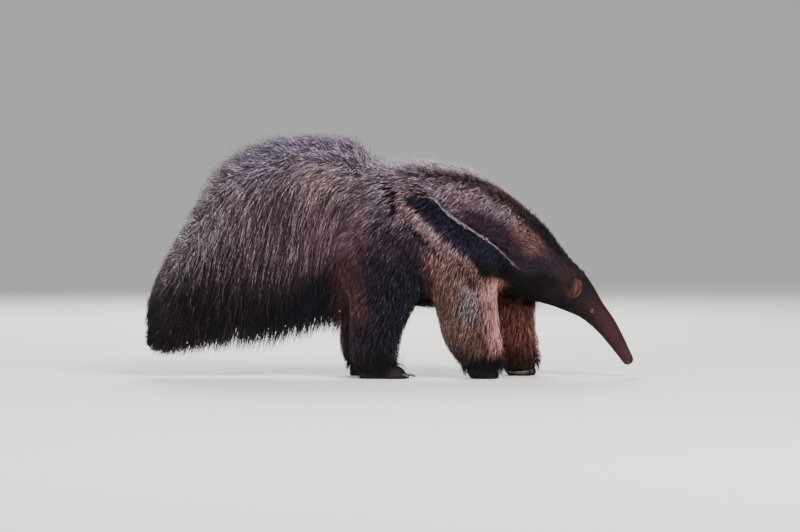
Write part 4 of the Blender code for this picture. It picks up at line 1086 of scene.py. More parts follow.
def hair_finish():
    """Hair in the colours of the markings, darkened at its roots as painted shade of the coat, with pale
    strokes towards its tips that are partly pale tips and partly painted glints.
    """
    made = Finish("coat_hair", roughness=0.6, specular_ior_level=0.22)
    names = ("along", "run", "across", "random", "pale")
    along, run, across, random, pale = (made.attribute(name) for name in names)
    where = made.node("ShaderNodeCombineXYZ", {}, across * 2.2, run * 95, random * 83)
    strokes = made.noise(where, 1.0, 2.0, 0.5)
    lines = (across * 25.0 + random * 40).math("SINE") * 0.5 + 0.5
    # Towards its roots the hair is darkened as painted shade of the coat over it; the rest is tone that
    # differs at random and the lines of its hairs
    shade = (random * 0.80 + 0.58) * (along.between(0.0, 0.50) * 0.60 + 0.40) * (lines * 0.30 + 0.82)
    hair = made.mix(1.0, made.attribute("tint", "Color"), grey(shade), "MULTIPLY")
    # The pale strokes towards the tips are partly the hair's pale tips and partly painted glints of light on
    # it
    share = (strokes.between(0.44, 0.62) * 0.85 + 0.15) * along.between(0.25, 0.60) * pale
    made.set("Base Color", made.mix(share, hair, made.attribute("tips", "Color")))
    made.bump(lines, 0.6, 0.0006)
    return made.material


def claw_finish():
    """Horn, worn paler in patches."""
    made = Finish("claw_horn", roughness=0.38, specular_ior_level=0.5)
    place = made.place()
    grain = made.noise(made.turned(place, (0, 0, 0), (220, 220, 900)), 1.0, 4.0)
    patches = made.noise(place, 90, 3.0)
    dark, light = (0.020, 0.015, 0.013, 1), (0.085, 0.062, 0.048, 1)
    made.set("Base Color", made.mix(patches.between(0.35, 0.7), dark, light))
    made.set("Roughness", grain * 0.25 + 0.28)
    made.bump(grain, 0.35, 0.0004)
    return made.material


def eye_finish():
    """Dark, with a bluish rim towards the lids."""
    made = Finish("eye_gloss", roughness=0.06, coat_weight=0.6, coat_roughness=0.03)
    x, _, z = (made.node("ShaderNodeSeparateXYZ", {}, made.place(), output=k) for k in range(3))
    out = ((x - EYE_PLACE[0]) ** 2.0 + (z - EYE_PLACE[2]) ** 2.0) ** 0.5
    rim = out.between(0.0042, 0.0062)
    made.set("Base Color", made.mix(rim, (0.006, 0.005, 0.006, 1), (0.10, 0.10, 0.15, 1)))
    made.bump(made.noise(made.place(), 900), 0.02, 0.0002)
    return made.material


def floor_finish(colour):
    """Paper with a faint speckle."""
    made = Finish("floor_paper", roughness=0.85)
    speckle = made.noise(made.place(), 60, 4.0)
    made.set("Base Color", made.mix(speckle * 0.10, (*colour, 1), (0.62, 0.61, 0.58, 1)))
    return made.material


# Coat

def surface(skin):
    """What the coat needs to know of the skin: triangles, corners, normals, map and a search tree."""
    mesh = skin.data
    mesh.calc_loop_triangles()
    corners = read(mesh.loop_triangles, "vertices", 3, int)
    loops = read(mesh.loop_triangles, "loops", 3, int)
    points = read_points(mesh)
    return {
        "points": points[corners],
        "normals": read(mesh.vertices, "normal", 3)[corners],
        "map": read(mesh.uv_layers["OFBake"].data, "uv", 2)[loops],
        "tree": BVHTree.FromPolygons(points.tolist(), corners.tolist()),
    }


def scatter(ground, number, draw, density):
    """Places on the skin, more where density is higher, with the way out of it and the place on its map."""
    a, b, c = ground["points"].transpose(1, 0, 2)
    area = np.linalg.norm(np.cross(b - a, c - a), axis=1)
    weight = area * density((a + b + c) / 3, ground["normals"].mean(1))
    picked = draw.choice(len(area), number, p=weight / weight.sum())
    u, v = draw.random((2, number, 1))
    over = u + v > 1
    u = np.where(over, 1 - u, u)
    v = np.where(over, 1 - v, v)

    def at(corners):
        first, second, third = corners[picked].transpose(1, 0, 2)
        return first + (second - first) * u + (third - first) * v

    normal = at(ground["normals"])
    normal /= np.linalg.norm(normal, axis=1)[:, None]
    return at(ground["points"]), normal, at(ground["map"])


def unit(vectors):
    """Vectors at length one."""
    return vectors / np.maximum(np.linalg.norm(vectors, axis=-1), 1e-9)[..., None]


def map_at(ground, places):
    """The place on the skin's map that is nearest to each of some places."""
    found = [ground["tree"].find_nearest(p) for p in places.tolist()]
    here = np.array([f[0] for f in found])
    which = np.array([f[2] for f in found])
    a, b, c = ground["points"][which].transpose(1, 0, 2)
    ab, ac, ap = b - a, c - a, here - a
    d00, d01, d11 = (ab * ab).sum(1), (ab * ac).sum(1), (ac * ac).sum(1)
    d20, d21 = (ap * ab).sum(1), (ap * ac).sum(1)
    whole = np.maximum(d00 * d11 - d01 * d01, 1e-18)
    v = ((d11 * d20 - d01 * d21) / whole)[:, None]
    w = ((d00 * d21 - d01 * d20) / whole)[:, None]
    first, second, third = ground["map"][which].transpose(1, 0, 2)
    return first + (second - first) * v + (third - first) * w


def follow(ground, roots, normals, comb, length, depth, free, draw, rise, frizz, droop):
    """Paths of tufts that lie along the skin, free ones going on straight, and the way out of the coat at
    each point. Rise is the height over the skin, as a share of depth, at even steps."""
    paths = [roots - normals * SUNK]
    outs = [normals]
    here = roots
    facing = normals
    sway = draw.normal(0, frizz, roots.shape)
    step = (length / (len(rise) - 1))[:, None]
    keep = free[:, None]
    for number, high in enumerate(rise[1:], 1):
        lie = comb + sway + columns(0, 0, -droop * number / len(rise) * np.ones(len(roots)))
        way = unit(lie - facing * (lie * facing).sum(1)[:, None])
        ahead = here + way * step
        found = [ground["tree"].find_nearest(p) for p in ahead.tolist()]
        skin = np.array([f[0] for f in found])
        here = skin + (ahead - skin) * keep
        facing = unit(facing + 1.5 * np.array([f[1] for f in found]) * (1 - keep))
        paths.append(here + facing * (depth * high)[:, None])
        outs.append(facing)
    return np.stack(paths, 1), np.stack(outs, 1)


def stand(roots, normals, comb, length, lean, draw, droop, frizz):
    """Paths of tufts that stand off the skin by an angle and bend down, and the way out at each point."""
    lie = comb + draw.normal(0, frizz, roots.shape)
    lie = unit(lie - normals * (lie * normals).sum(1)[:, None])
    way = lie * np.cos(lean)[:, None] + normals * np.sin(lean)[:, None]
    paths = []
    for t in np.linspace(0, 1, STAND_POINTS):
        point = roots - normals * SUNK + way * (length * t)[:, None]
        point[:, 2] -= length * droop * t * t
        paths.append(point)
    return np.stack(paths, 1), np.stack([normals] * STAND_POINTS, 1)


def clump(paths, size, pull, draw):
    """Draws the tips of tufts that lie together towards one of them, and returns a number for each clump."""
    count = len(paths)
    middles = draw.choice(count, max(1, count // size), replace=False)
    tree = KDTree(len(middles))
    for k, middle in enumerate(middles):
        tree.insert(paths[middle, -2], k)
    tree.balance()
    nearest = np.array([tree.find(p)[1] for p in paths[:, -2].tolist()])
    towards = paths[middles[nearest]]
    near = smooth(0.035, 0.015, np.linalg.norm(towards[:, -2] - paths[:, -2], axis=1))
    share = pull * near[:, None] * np.linspace(0, 1, paths.shape[1]) ** 1.5
    paths += (towards - paths) * share[..., None]
    return draw.random(len(middles))[nearest]


def tufts(name, paths, outs, width, shares, marks, spot, draw, together, pull):
    """Closed three-sided tufts along paths, in as many pieces as their number asks. Shares give the width
    at each point but the tip, and so many tufts together are pulled into a clump."""
    clumps = clump(paths, together, pull, draw)
    paths[:, :, 2] = np.maximum(paths[:, :, 2], GROUND)
    count, rings = paths.shape[0], paths.shape[1] - 1
    per_tuft = 6 * (rings - 1) + 4
    pieces = np.diff(paths, axis=1)
    ahead = unit(pieces)
    over = unit(outs[:, :rings] - ahead * (ahead * outs[:, :rings]).sum(2)[..., None])
    beside = np.cross(ahead, over)
    half = width[:, None] * np.asarray(shares)[None] / 2
    low = paths[:, :rings]
    half = half[..., None]
    corners = np.stack((low - beside * half, low + beside * half, low + over * half), 2)
    points = np.concatenate((corners.reshape(count, rings * 3, 3), paths[:, -1:]), 1)
    faces = [(0, 1, 2)]
    for r in range(rings - 1):
        for k in range(3):
            near, after = r * 3 + k, r * 3 + (k + 1) % 3
            faces += [(near, near + 3, after + 3), (near, after + 3, after)]
    last = (rings - 1) * 3
    faces += [(last + k, rings * 3, last + (k + 1) % 3) for k in range(3)]
    faces = np.array(faces)
    size = rings * 3 + 1
    along = np.concatenate((np.repeat(np.linspace(0, 1, rings + 1)[:-1], 3), (1,)))
    across = np.concatenate((np.tile((0, 1, 0.5), rings), (0.5,)))
    gone = np.cumsum(np.linalg.norm(pieces, axis=2), 1)
    run = np.concatenate((np.zeros((count, 3)), np.repeat(gone[:, :-1], 3, 1), gone[:, -1:]), 1)
    random = 0.75 * draw.random(count) + 0.25 * clumps
    # Tufts whose pale strokes show strongly: pale tips of the hair, and partly painted glints of light on it
    tip_glint = draw.random(count) < marks[:, 6]
    strong = draw.uniform(0.65, 1.0, count)
    weak = draw.uniform(0, 0.22, count) * np.clip(2 * marks[:, 6], 0, 1)
    pale = np.where(tip_glint, strong, weak)
    per_piece = TUFT_LIMIT // per_tuft
    for number, start in enumerate(range(0, count, per_piece), 1):
        part = slice(start, min(count, start + per_piece))
        n = part.stop - part.start
        mesh = bpy.data.meshes.new(name)
        mesh.vertices.add(n * size)
        mesh.vertices.foreach_set("co", points[part].ravel())
        index = (faces[None] + (np.arange(n) * size)[:, None, None]).ravel()
        mesh.loops.add(len(index))
        mesh.loops.foreach_set("vertex_index", index)
        mesh.polygons.add(len(index) // 3)
        mesh.polygons.foreach_set("loop_start", np.arange(0, len(index), 3))
        mesh.update(calc_edges=True)
        store(mesh, "tint", np.repeat(marks[part, :3], size, 0))
        store(mesh, "tips", np.repeat(marks[part, 3:6], size, 0))
        store(mesh, "along", np.tile(along, n))
        store(mesh, "across", np.tile(across, n))
        store(mesh, "run", run[part].ravel())
        store(mesh, "random", np.repeat(random[part], size))
        store(mesh, "pale", np.repeat(pale[part], size))
        patch = spot[part][:, None] + PATCH * (np.stack((across, along), 1) - 0.5)[None]
        layer = mesh.uv_layers.new(name="OFBake")
        layer.data.foreach_set("uv", patch.reshape(-1, 2)[index].ravel())
        piece = bpy.data.objects.new(name, mesh)
        bpy.context.scene.collection.objects.link(piece)
        finish_piece(piece, f"{name}_{number}", bpy.data.materials["coat_hair"])


def store(mesh, name, values):
    """Keeps a number or a colour for each point of a mesh."""
    coloured = values.ndim == 2
    if coloured:
        values = np.pad(values, ((0, 0), (0, 1)), constant_values=1)
    made = mesh.attributes.new(name, "FLOAT_COLOR" if coloured else "FLOAT", "POINT")
    made.data.foreach_set("color" if coloured else "value", values.astype(np.float32).ravel())


def coat_at(points):
    """The lie, length, depth and freedom of the coat on trunk and legs."""
    x, y, z = points.T
    place, turn, fall = trunk_place(points)
    rows = stations(TRUNK, place)
    top, beside, under = rows[:, 5], rows[:, 6], rows[:, 7]
    rise = np.cos(turn)
    depth = beside + (np.where(rise > 0, top, under) - beside) * rise**2
    back = columns(-np.cos(fall), 0, np.sin(fall))
    hang = smooth(0.20, 1.3, turn) * smooth(0.44, 0.24, x)
    hang = hang * (0.60 + 0.40 * smooth(0.50, 0.38, z))
    comb = back * (1.05 - hang)[:, None] + columns(*LIE_DOWN) * (hang * 1.15)[:, None]
    over = z - line_at(WEDGE_TOP, x)
    crest = smooth(0.10, 0.25, turn) * smooth(1.15, 0.85, turn)
    crest = crest * smooth(0.04, 0.14, x) * smooth(0.52, 0.40, x) * smooth(0.03, 0.06, over)
    comb = comb + (columns(*LIE_CREST) - comb) * (0.75 * crest)[:, None]
    beside_line = smooth(-0.002, 0.004, over) * smooth(0.050, 0.025, over) * smooth(0.08, 0.14, x)
    comb = comb + (columns(*LIE_LINE) - comb) * (0.95 * beside_line)[:, None]
    length = COAT_LENGTH[0] + COAT_LENGTH[1] * smooth(0.50, 0.20, x)
    length = length * (1 + COAT_LONGER * smooth(0.45, 0.30, z) * smooth(0.30, 0.20, x))
    edge = np.minimum(np.abs(over), np.abs(z - line_at(WEDGE_FOOT, x))) + 0.2 * (x < 0.03)
    length = length * (1 - COAT_SHORTER * smooth(*COAT_SHORTER_REACH, edge) * smooth(0.30, 0.33, z))
    free = 0.75 * smooth(0.02, -0.10, x) + 0.25 * smooth(2.0, 2.6, turn) * smooth(0.40, 0.30, x)
    for fore in (True, False):
        share, _, _ = leg_share(points, fore)
        rows = np.array(FORELEG if fore else HINDLEG)
        order = np.argsort(rows[:, 1])
        coat = np.interp(z, rows[order, 1], rows[order, 4])
        lie = columns(*(LIE_FORELEG if fore else LIE_HINDLEG)) + columns(0, np.sign(y) * LEG_TURN_OUT, 0)
        comb += (lie - comb) * share[:, None]
        depth += (coat * LEG_DEPTH - depth) * share
        length += (LEG_LENGTH + coat - length) * share
        free += (LEG_FREE - free) * share
    length = np.minimum(length, 0.75 * np.maximum(z, 0.03) + 0.01)
    return unit(comb), length, depth, free


def short_coat_at(points):
    """The lie, length and depth of the short hair on head, ears and feet."""
    x, y, z = points.T
    ahead = ahead_of_neck(points)
    _, _, fall = trunk_place(points)
    comb = columns(-np.cos(fall), 0, np.sin(fall))
    head, neck, snout = HEAD_LENGTH
    length = head + neck * smooth(0.07, -0.02, ahead) - snout * smooth(0.12, 0.24, ahead)
    feet = (z < 0.070) & (x < HEAD_BACK)
    comb = np.where(feet[:, None], columns(*LIE_FOOT), comb)
    length = np.where(feet, FOOT_LENGTH, length)
    out, _ = ear_place(points)
    cup = (out < 1.25) & (np.abs(y) > EAR_ASIDE) & (ahead > -0.05)
    comb = np.where(cup[:, None], columns(*LIE_EAR), comb)
    length = np.where(cup, EAR_LENGTH, length)
    return unit(comb), length, SHORT_DEPTH[0] + SHORT_DEPTH[1] * length


def is_tail(points):
    """Whether a place lies on the woolly part of the tail."""
    x, y, z = points.T
    return (x < -0.118) & (z > 0.42) & (np.abs(y) < 0.062) | (x < -0.22)


# Properties

class AnteaterCoat(bpy.types.PropertyGroup):
    body_tufts: IntProperty(name="Body tufts", description="Tufts on trunk and legs", default=62000, min=100)
    body_width: FloatProperty(
        name="Body tuft width", description="Width of a tuft on the body", default=0.0024, unit="LENGTH",
    )
    mane_tufts: IntProperty(
        name="Mane tufts", description="Tufts along the crest of back and neck", default=4200, min=10,
    )
    line_tufts: IntProperty(
        name="Line tufts", description="Tufts in the white line of a side", default=260, min=10,
    )
    short_tufts: IntProperty(
        name="Short tufts", description="Tufts on head, ears and feet", default=20000, min=10,
    )
    tail_tufts: IntProperty(
        name="Tail tufts", description="Tufts in the plume of the tail", default=34000, min=100,
    )
    tail_width: FloatProperty(
        name="Tail tuft width", description="Width of a tuft in the plume", default=0.0029, unit="LENGTH",
    )
    stray_tufts: IntProperty(
        name="Stray hairs", description="Thin hairs over back and tail", default=1500, min=10,
    )


class AnteaterStage(bpy.types.PropertyGroup):
    floor: FloatVectorProperty(
        name="Floor", description="Colour of the floor", subtype="COLOR", default=(0.74, 0.73, 0.70),
    )
    key: FloatProperty(name="Key light", description="Power of the main light", default=620, unit="POWER")
    fill: FloatProperty(name="Fill light", description="Power of the light across", default=260, unit="POWER")
    rim: FloatProperty(name="Rim light", description="Power of the light behind", default=420, unit="POWER")
    bend: FloatProperty(name="Bend", description="Radius of the backdrop's bend", default=11.0, unit="LENGTH")
    distance: FloatProperty(
        name="Distance", description="From the camera to the animal", default=10, unit="LENGTH",
    )
    height: FloatProperty(
        name="Height", description="Of the camera above the floor", default=0.66, unit="LENGTH",
    )
    width: FloatProperty(name="Width", description="Seen at the animal", default=2.56, unit="LENGTH")


# Operators

def aim(thing, place):
    """Turns a light or the camera to look at a place."""
    thing.rotation_euler = (Vector(place) - thing.location).to_track_quat("-Z", "Y").to_euler()


def add_claw(node, path, wide, thick, across, material):
    """One claw, named after the node that it stands for."""
    made = strand("claw", path, wide, thick, np.array(across), CLAW_SIDES)
    finish_piece(made, f"horn_{node}", material, (node,))


def prepare(context, step):
    """What a coat needs: its settings, its own run of random numbers and the skin that it grows on."""
    return context.scene.anteater_coat, np.random.default_rng(SEED + step), surface(bpy.data.objects["skin"])


class ANTEATER_OT_stage(bpy.types.Operator):
    """Lays the floor and sets the lights and the camera"""

    bl_idname = "anteater.stage"
    bl_label = "Stage"

    def execute(self, context):
        setting = context.scene.anteater_stage
        bpy.ops.mesh.primitive_plane_add(size=FLOOR_SIZE, location=FLOOR_MIDDLE)
        bpy.ops.object.transform_apply(location=True)
        floor = context.object
        floor.name = "floor"
        bpy.ops.object.mode_set(mode="EDIT")
        bpy.ops.mesh.select_mode(type="EDGE")
        bpy.ops.mesh.select_all(action="DESELECT")
        bpy.ops.object.mode_set(mode="OBJECT")
        for edge in floor.data.edges:
            edge.select = all(floor.data.vertices[k].co.y > 0 for k in edge.vertices)
        bpy.ops.object.mode_set(mode="EDIT")
        bpy.ops.mesh.extrude_region_move(TRANSFORM_OT_translate={"value": (0, 0, BACKDROP_HEIGHT)})
        bpy.ops.object.mode_set(mode="OBJECT")
        modify(floor, "BEVEL", width=setting.bend, segments=BEND_SEGMENTS)
        bpy.ops.object.shade_smooth()
        floor.data.materials.append(floor_finish(setting.floor))
        for name, place, size in LIGHTS:
            bpy.ops.object.light_add(type="AREA", location=place)
            light = context.object
            light.name = name
            light.data.energy = getattr(setting, name)
            light.data.size = size
            aim(light, LIGHTS_AIM)
        world = bpy.data.worlds.new("studio")
        world.use_nodes = True
        sky = world.node_tree.nodes["Background"].inputs
        sky["Color"].default_value = SKY
        sky["Strength"].default_value = SKY_STRENGTH
        context.scene.world = world
        place = Vector((CAMERA_AIM[0], -setting.distance, setting.height))
        bpy.ops.object.camera_add(location=place)
        camera = context.object
        camera.name = "camera"
        aim(camera, CAMERA_AIM)
        camera.data.sensor_width = SENSOR
        camera.data.lens = SENSOR * (Vector(CAMERA_AIM) - place).length / setting.width
        context.scene.camera = camera
        return {"FINISHED"}


class ANTEATER_OT_skin(bpy.types.Operator):
    """Makes the one skin of trunk, head, ears, legs, feet and tail"""

    bl_idname = "anteater.skin"
    bl_label = "Skin"

    def execute(self, context):
        places = even_places(TRUNK, RING_SPACING, HEAD_SPACING, HEAD_STATION - 1)
        skin = tube("skin", rings_of(lambda at: trunk_sections(at, SKIN_DEPTH), places, TRUNK_SIDES))
        for fore, rows, out, left in legs():
            def at(places, rows=rows, out=out, left=left):
                return leg_sections(rows, out, left, places, SKIN_DEPTH)

            leg_places = even_places(rows, RING_SPACING, RING_SPACING, 0)
            combine(skin, tube("leg", rings_of(at, leg_places, LEG_SIDES)), "UNION")
            combine(skin, make_forefoot(left) if fore else make_hindfoot(left), "UNION")
        combine(skin, make_plume_core(), "UNION")
        for sign, _ in SIDES:
            combine(skin, make_ear(sign), "UNION")
        add_face(skin)
        points = read_points(skin.data)
        # Behind the head the skin lies under the coat, and its colour there is darkened to 0.62 as painted
        # shade of the coat over it
        under = 0.62 + 0.38 * smooth(-0.03, 0.02, ahead_of_neck(points))
        store(skin.data, "tint", markings(points)[:, :3] * under[:, None])
        while skin.data.uv_layers:
            skin.data.uv_layers.remove(skin.data.uv_layers[0])
        skin.data.uv_layers.new(name="OFBake")
        edit(skin, (bpy.ops.uv.smart_project, {"angle_limit": math.radians(66), "island_margin": 0.004}))
        finish_piece(skin, "skin", skin_finish(), SOFT_NODES)
        return {"FINISHED"}


class ANTEATER_OT_eyes(bpy.types.Operator):
    """Sets an eye between the lids of each side"""

    bl_idname = "anteater.eyes"
    bl_label = "Eyes"

    def execute(self, context):
        material = eye_finish()
        x, y, z = EYE_PLACE
        for sign, side in SIDES:
            made = ball("eye", (x, sign * y, z), (EYE_RADIUS,) * 3, None, 48, 32)
            finish_piece(made, f"eyeball_{side}", material, (f"eye_{side}",))
        return {"FINISHED"}


class ANTEATER_OT_claws(bpy.types.Operator):
    """Sets the claws on every foot"""

    bl_idname = "anteater.claws"
    bl_label = "Claws"

    def execute(self, context):
        material = claw_finish()
        t = np.linspace(0, 1, CLAW_RINGS + 1)
        for sign, side in SIDES:
            x, half_length, half_width = FOREFOOT
            x += LEFT_FORELEG_STEP[-1] if sign > 0 else 0
            for number, (height, length, radius) in enumerate(FORE_CLAWS, 1):
                turn = math.radians(FORE_CLAW_START) + t * (length + FORE_CLAW_SUNK) / half_width
                out = radius - FORE_CLAW_SUNK + FORE_CLAW_LIFT * t
                sag = FORE_CLAW_SAG[0] * np.sin(np.pi * t) * min(1, height / FORE_CLAW_SAG[1])
                path = columns(x + (half_length + out) * np.cos(turn),
                               sign * (FORELEG_OUT - (half_width + out) * np.sin(turn)), height - sag)
                thick = np.maximum(radius * (1 - t) ** CLAW_TAPER, CLAW_TIP)
                add_claw(f"forefoot_{side}_claw_{number}", path, thick, thick * FORE_CLAW_WIDTH, (0, 0, 1.0),
                         material)
            heel = HINDFOOT_HEEL + (LEFT_HINDLEG_STEP[-1] if sign > 0 else 0)
            root, rise, fall = HIND_CLAW_ARC
            for number, (across, short, length) in enumerate(TOES, 1):
                end = heel + HINDFOOT_LENGTH - short - HIND_CLAW_SUNK
                path = columns(end + (length + HIND_CLAW_SUNK) * t,
                               sign * (HINDLEG_OUT - across * (1 + HIND_CLAW_SPLAY * t)),
                               TOE_RADIUS * (root + rise * np.sin(np.pi * t) - fall * t * t))
                thick = np.maximum(HIND_CLAW_RADIUS * (1 - t) ** CLAW_TAPER, CLAW_TIP)
                add_claw(f"hindfoot_{side}_claw_{number}", path, thick * HIND_CLAW_WIDTH, thick, (0, 1.0, 0),
                         material)
        return {"FINISHED"}


class ANTEATER_OT_coat(bpy.types.Operator):
    """Grows the long coat of trunk and legs"""

    bl_idname = "anteater.coat"
    bl_label = "Coat"

    def execute(self, context):
        hair_finish()
        setting, draw, ground = prepare(context, 0)

        def body(points, _):
            here = (ahead_of_neck(points) < 0) & ~is_tail(points) & (points[:, 2] > 0.045)
            return here * (1 + 0.9 * smooth(0.22, 0.42, points[:, 0]) * smooth(0.20, 0.30, points[:, 2]))

        roots, normals, spot = scatter(ground, setting.body_tufts, draw, body)
        count = len(roots)
        comb, length, depth, free = coat_at(roots)
        length = length * draw.uniform(0.70, 1.15, count)
        depth = 0.92 * depth * draw.uniform(0.55, 1.0, count)
        paths, outs = follow(ground, roots, normals, comb, length, depth, free, draw,
                             rise=(0, 0.84, 1.0), frizz=0.20, droop=0.20)
        width = setting.body_width * draw.uniform(0.7, 1.2, count) * smooth(-0.01, 0.05, length)
        marks = markings(paths[:, 1:].mean(1))
        tufts("coat_body", paths, outs, width, (0.8, 1), marks, spot, draw,
              together=5, pull=0.25)
        return {"FINISHED"}


class ANTEATER_OT_mane(bpy.types.Operator):
    """Grows the mane, the white lines of the shoulders and the stray hairs of the back"""

    bl_idname = "anteater.mane"
    bl_label = "Mane and lines"

    def execute(self, context):
        setting, draw, ground = prepare(context, 2)

        def crest(points, normals):
            _, turn, _ = trunk_place(points)
            here = (points[:, 0] > -0.09) & (ahead_of_neck(points) < 0.005) & (normals[:, 2] > 0.1)
            return here * smooth(0.56, 0.20, turn) * (0.6 + smooth(0.06, 0.20, points[:, 0]))

        roots, normals, spot = scatter(ground, setting.mane_tufts, draw, crest)
        count = len(roots)
        place, _, fall = trunk_place(roots)
        rows = stations(TRUNK, place)
        comb = columns(-np.cos(fall), 0.5 * np.sign(roots[:, 1]) * np.abs(normals[:, 1]), np.sin(fall))
        share, standing, usual = MANE_HEIGHTS
        tall = rows[:, 5] * np.where(draw.random(count) < share, standing, usual)
        tall = tall * draw.uniform(0.80, 1.10, count)
        tall = tall + 0.004 + 0.008 * smooth(0.36, 0.44, roots[:, 0]) * draw.random(count) ** 2
        low, high, more = MANE_LEAN
        lean = np.radians(draw.uniform(low, high, count) + more * smooth(0.34, 0.42, roots[:, 0]))
        length = tall / np.sin(lean) * 0.95
        paths, outs = stand(roots, normals, comb, length, lean, draw, droop=0.08, frizz=0.12)
        width = draw.uniform(0.0020, 0.0034, count)
        tufts("coat_mane", paths, outs, width, (0.8, 1, 0.8, 0.45), markings(roots), spot, draw,
              together=6, pull=0.5)

        self.lines(ground, draw, setting.line_tufts)

        def top(points, normals):
            return (points[:, 0] > -0.06) & (ahead_of_neck(points) < -0.02) & (normals[:, 2] > 0.8)

        roots, normals, spot = scatter(ground, setting.stray_tufts // 2, draw, top)
        count = len(roots)
        rows = stations(TRUNK, trunk_place(roots)[0])
        comb = np.tile((-1.0, 0.0, 0.2), (count, 1))
        lean = np.radians(draw.uniform(40, 75, count))
        length = (rows[:, 5] * draw.uniform(1.15, 1.60, count) + 0.006) / np.sin(lean)
        paths, outs = stand(roots, normals, comb, length, lean, draw, droop=0.12, frizz=0.3)
        width = draw.uniform(0.0007, 0.0012, count)
        # Stray hairs take the colours of the mane's top: pale tips with a painted rim highlight
        marks = np.tile(REGIONS["mane_back"], (count, 1))
        tufts("coat_stray", paths, outs, width, (1, 0.9, 0.7, 0.5), marks, spot, draw,
              together=5, pull=0.0)
        return {"FINISHED"}

    @staticmethod
    def lines(ground, draw, count):
        """Thin pale hairs along the upper edge of the dark wedge of each shoulder, on top of the coat."""
        thick, start, end = WHITE_LINE
        along = np.linspace(start - 0.03, end, 60)
        z = line_at(WEDGE_TOP, along)
        for side, side_name in SIDES:
            above = np.zeros((60, 3))
            for _ in range(3):
                under = columns(along, 0, z) - above
                hits = [ground["tree"].ray_cast((a, side, b), (0, -side, 0)) for a, _, b in under]
                roots = np.array([h[0] for h in hits])
                normals = np.array([h[1] for h in hits])
                above = normals * (0.96 * coat_at(roots)[2])[:, None]
            out = np.polyfit(along, (roots + above)[:, 1] * side, 5)
            x = draw.uniform(start, end, count)
            length = draw.uniform(0.009, 0.024, count)
            shift = draw.normal(0, thick * 0.48, (2, count))
            tilt = draw.normal(0.08, 0.22, count)
            paths = []
            for t in np.linspace(0, 1, LINE_POINTS):
                gone = x - length * t * 0.8
                over = shift[0] + tilt * length * t
                far = np.polyval(out, gone) + shift[1] * 0.5 + 0.0008 * np.sin(np.pi * t)
                paths.append(columns(gone, side * far, line_at(WEDGE_TOP, gone) + over))
            paths = np.stack(paths, 1)
            outs = unit(np.tile((0.0, side, 0.3), (count, LINE_POINTS, 1)))
            marks = np.tile(REGIONS["line"], (count, 1))
            marks[:, 6] *= smooth(end + 0.02, end - 0.16, x) * (0.45 + 0.55 * smooth(start, start + 0.06, x))
            width = draw.uniform(0.0007, 0.0014, count)
            spot = map_at(ground, paths[:, 0])
            tufts(f"coat_line_{side_name}", paths, outs, width, (0.7, 1, 0.7), marks, spot, draw,
                  together=3, pull=0.3)


class ANTEATER_OT_short_coat(bpy.types.Operator):
    """Grows the short hair of head, ears and feet"""

    bl_idname = "anteater.short_coat"
    bl_label = "Short coat"

    def execute(self, context):
        setting, draw, ground = prepare(context, 3)
        eye = np.array(EYE_PLACE)

        def head(points, _):
            ahead = ahead_of_neck(points)
            far = np.linalg.norm(points * columns(1, np.sign(points[:, 1]), 1) - eye, axis=1)
            on_feet = (points[:, 2] < 0.060) & (points[:, 2] > 0.006) & (points[:, 0] < HEAD_BACK)
            return ((ahead > -0.03) & (ahead < 0.268) & (far > EYE_ROOM)) * 1.0 + 0.5 * on_feet

        roots, normals, spot = scatter(ground, setting.short_tufts, draw, head)
        count = len(roots)
        comb, length, depth = short_coat_at(roots)
        length = length * draw.uniform(0.75, 1.25, count)
        paths, outs = follow(ground, roots, normals, comb, length, depth, 0 * length, draw,
                             rise=(0, 0.8, 1.0), frizz=0.12, droop=0.0)
        width = SHORT_WIDTH[0] + SHORT_WIDTH[1] * length
        marks = markings(roots)
        marks[:, :3] *= SHORT_LIGHTER
        tufts("coat_short", paths, outs, width, (1, 0.7), marks, spot, draw,
              together=4, pull=0.2)
        return {"FINISHED"}


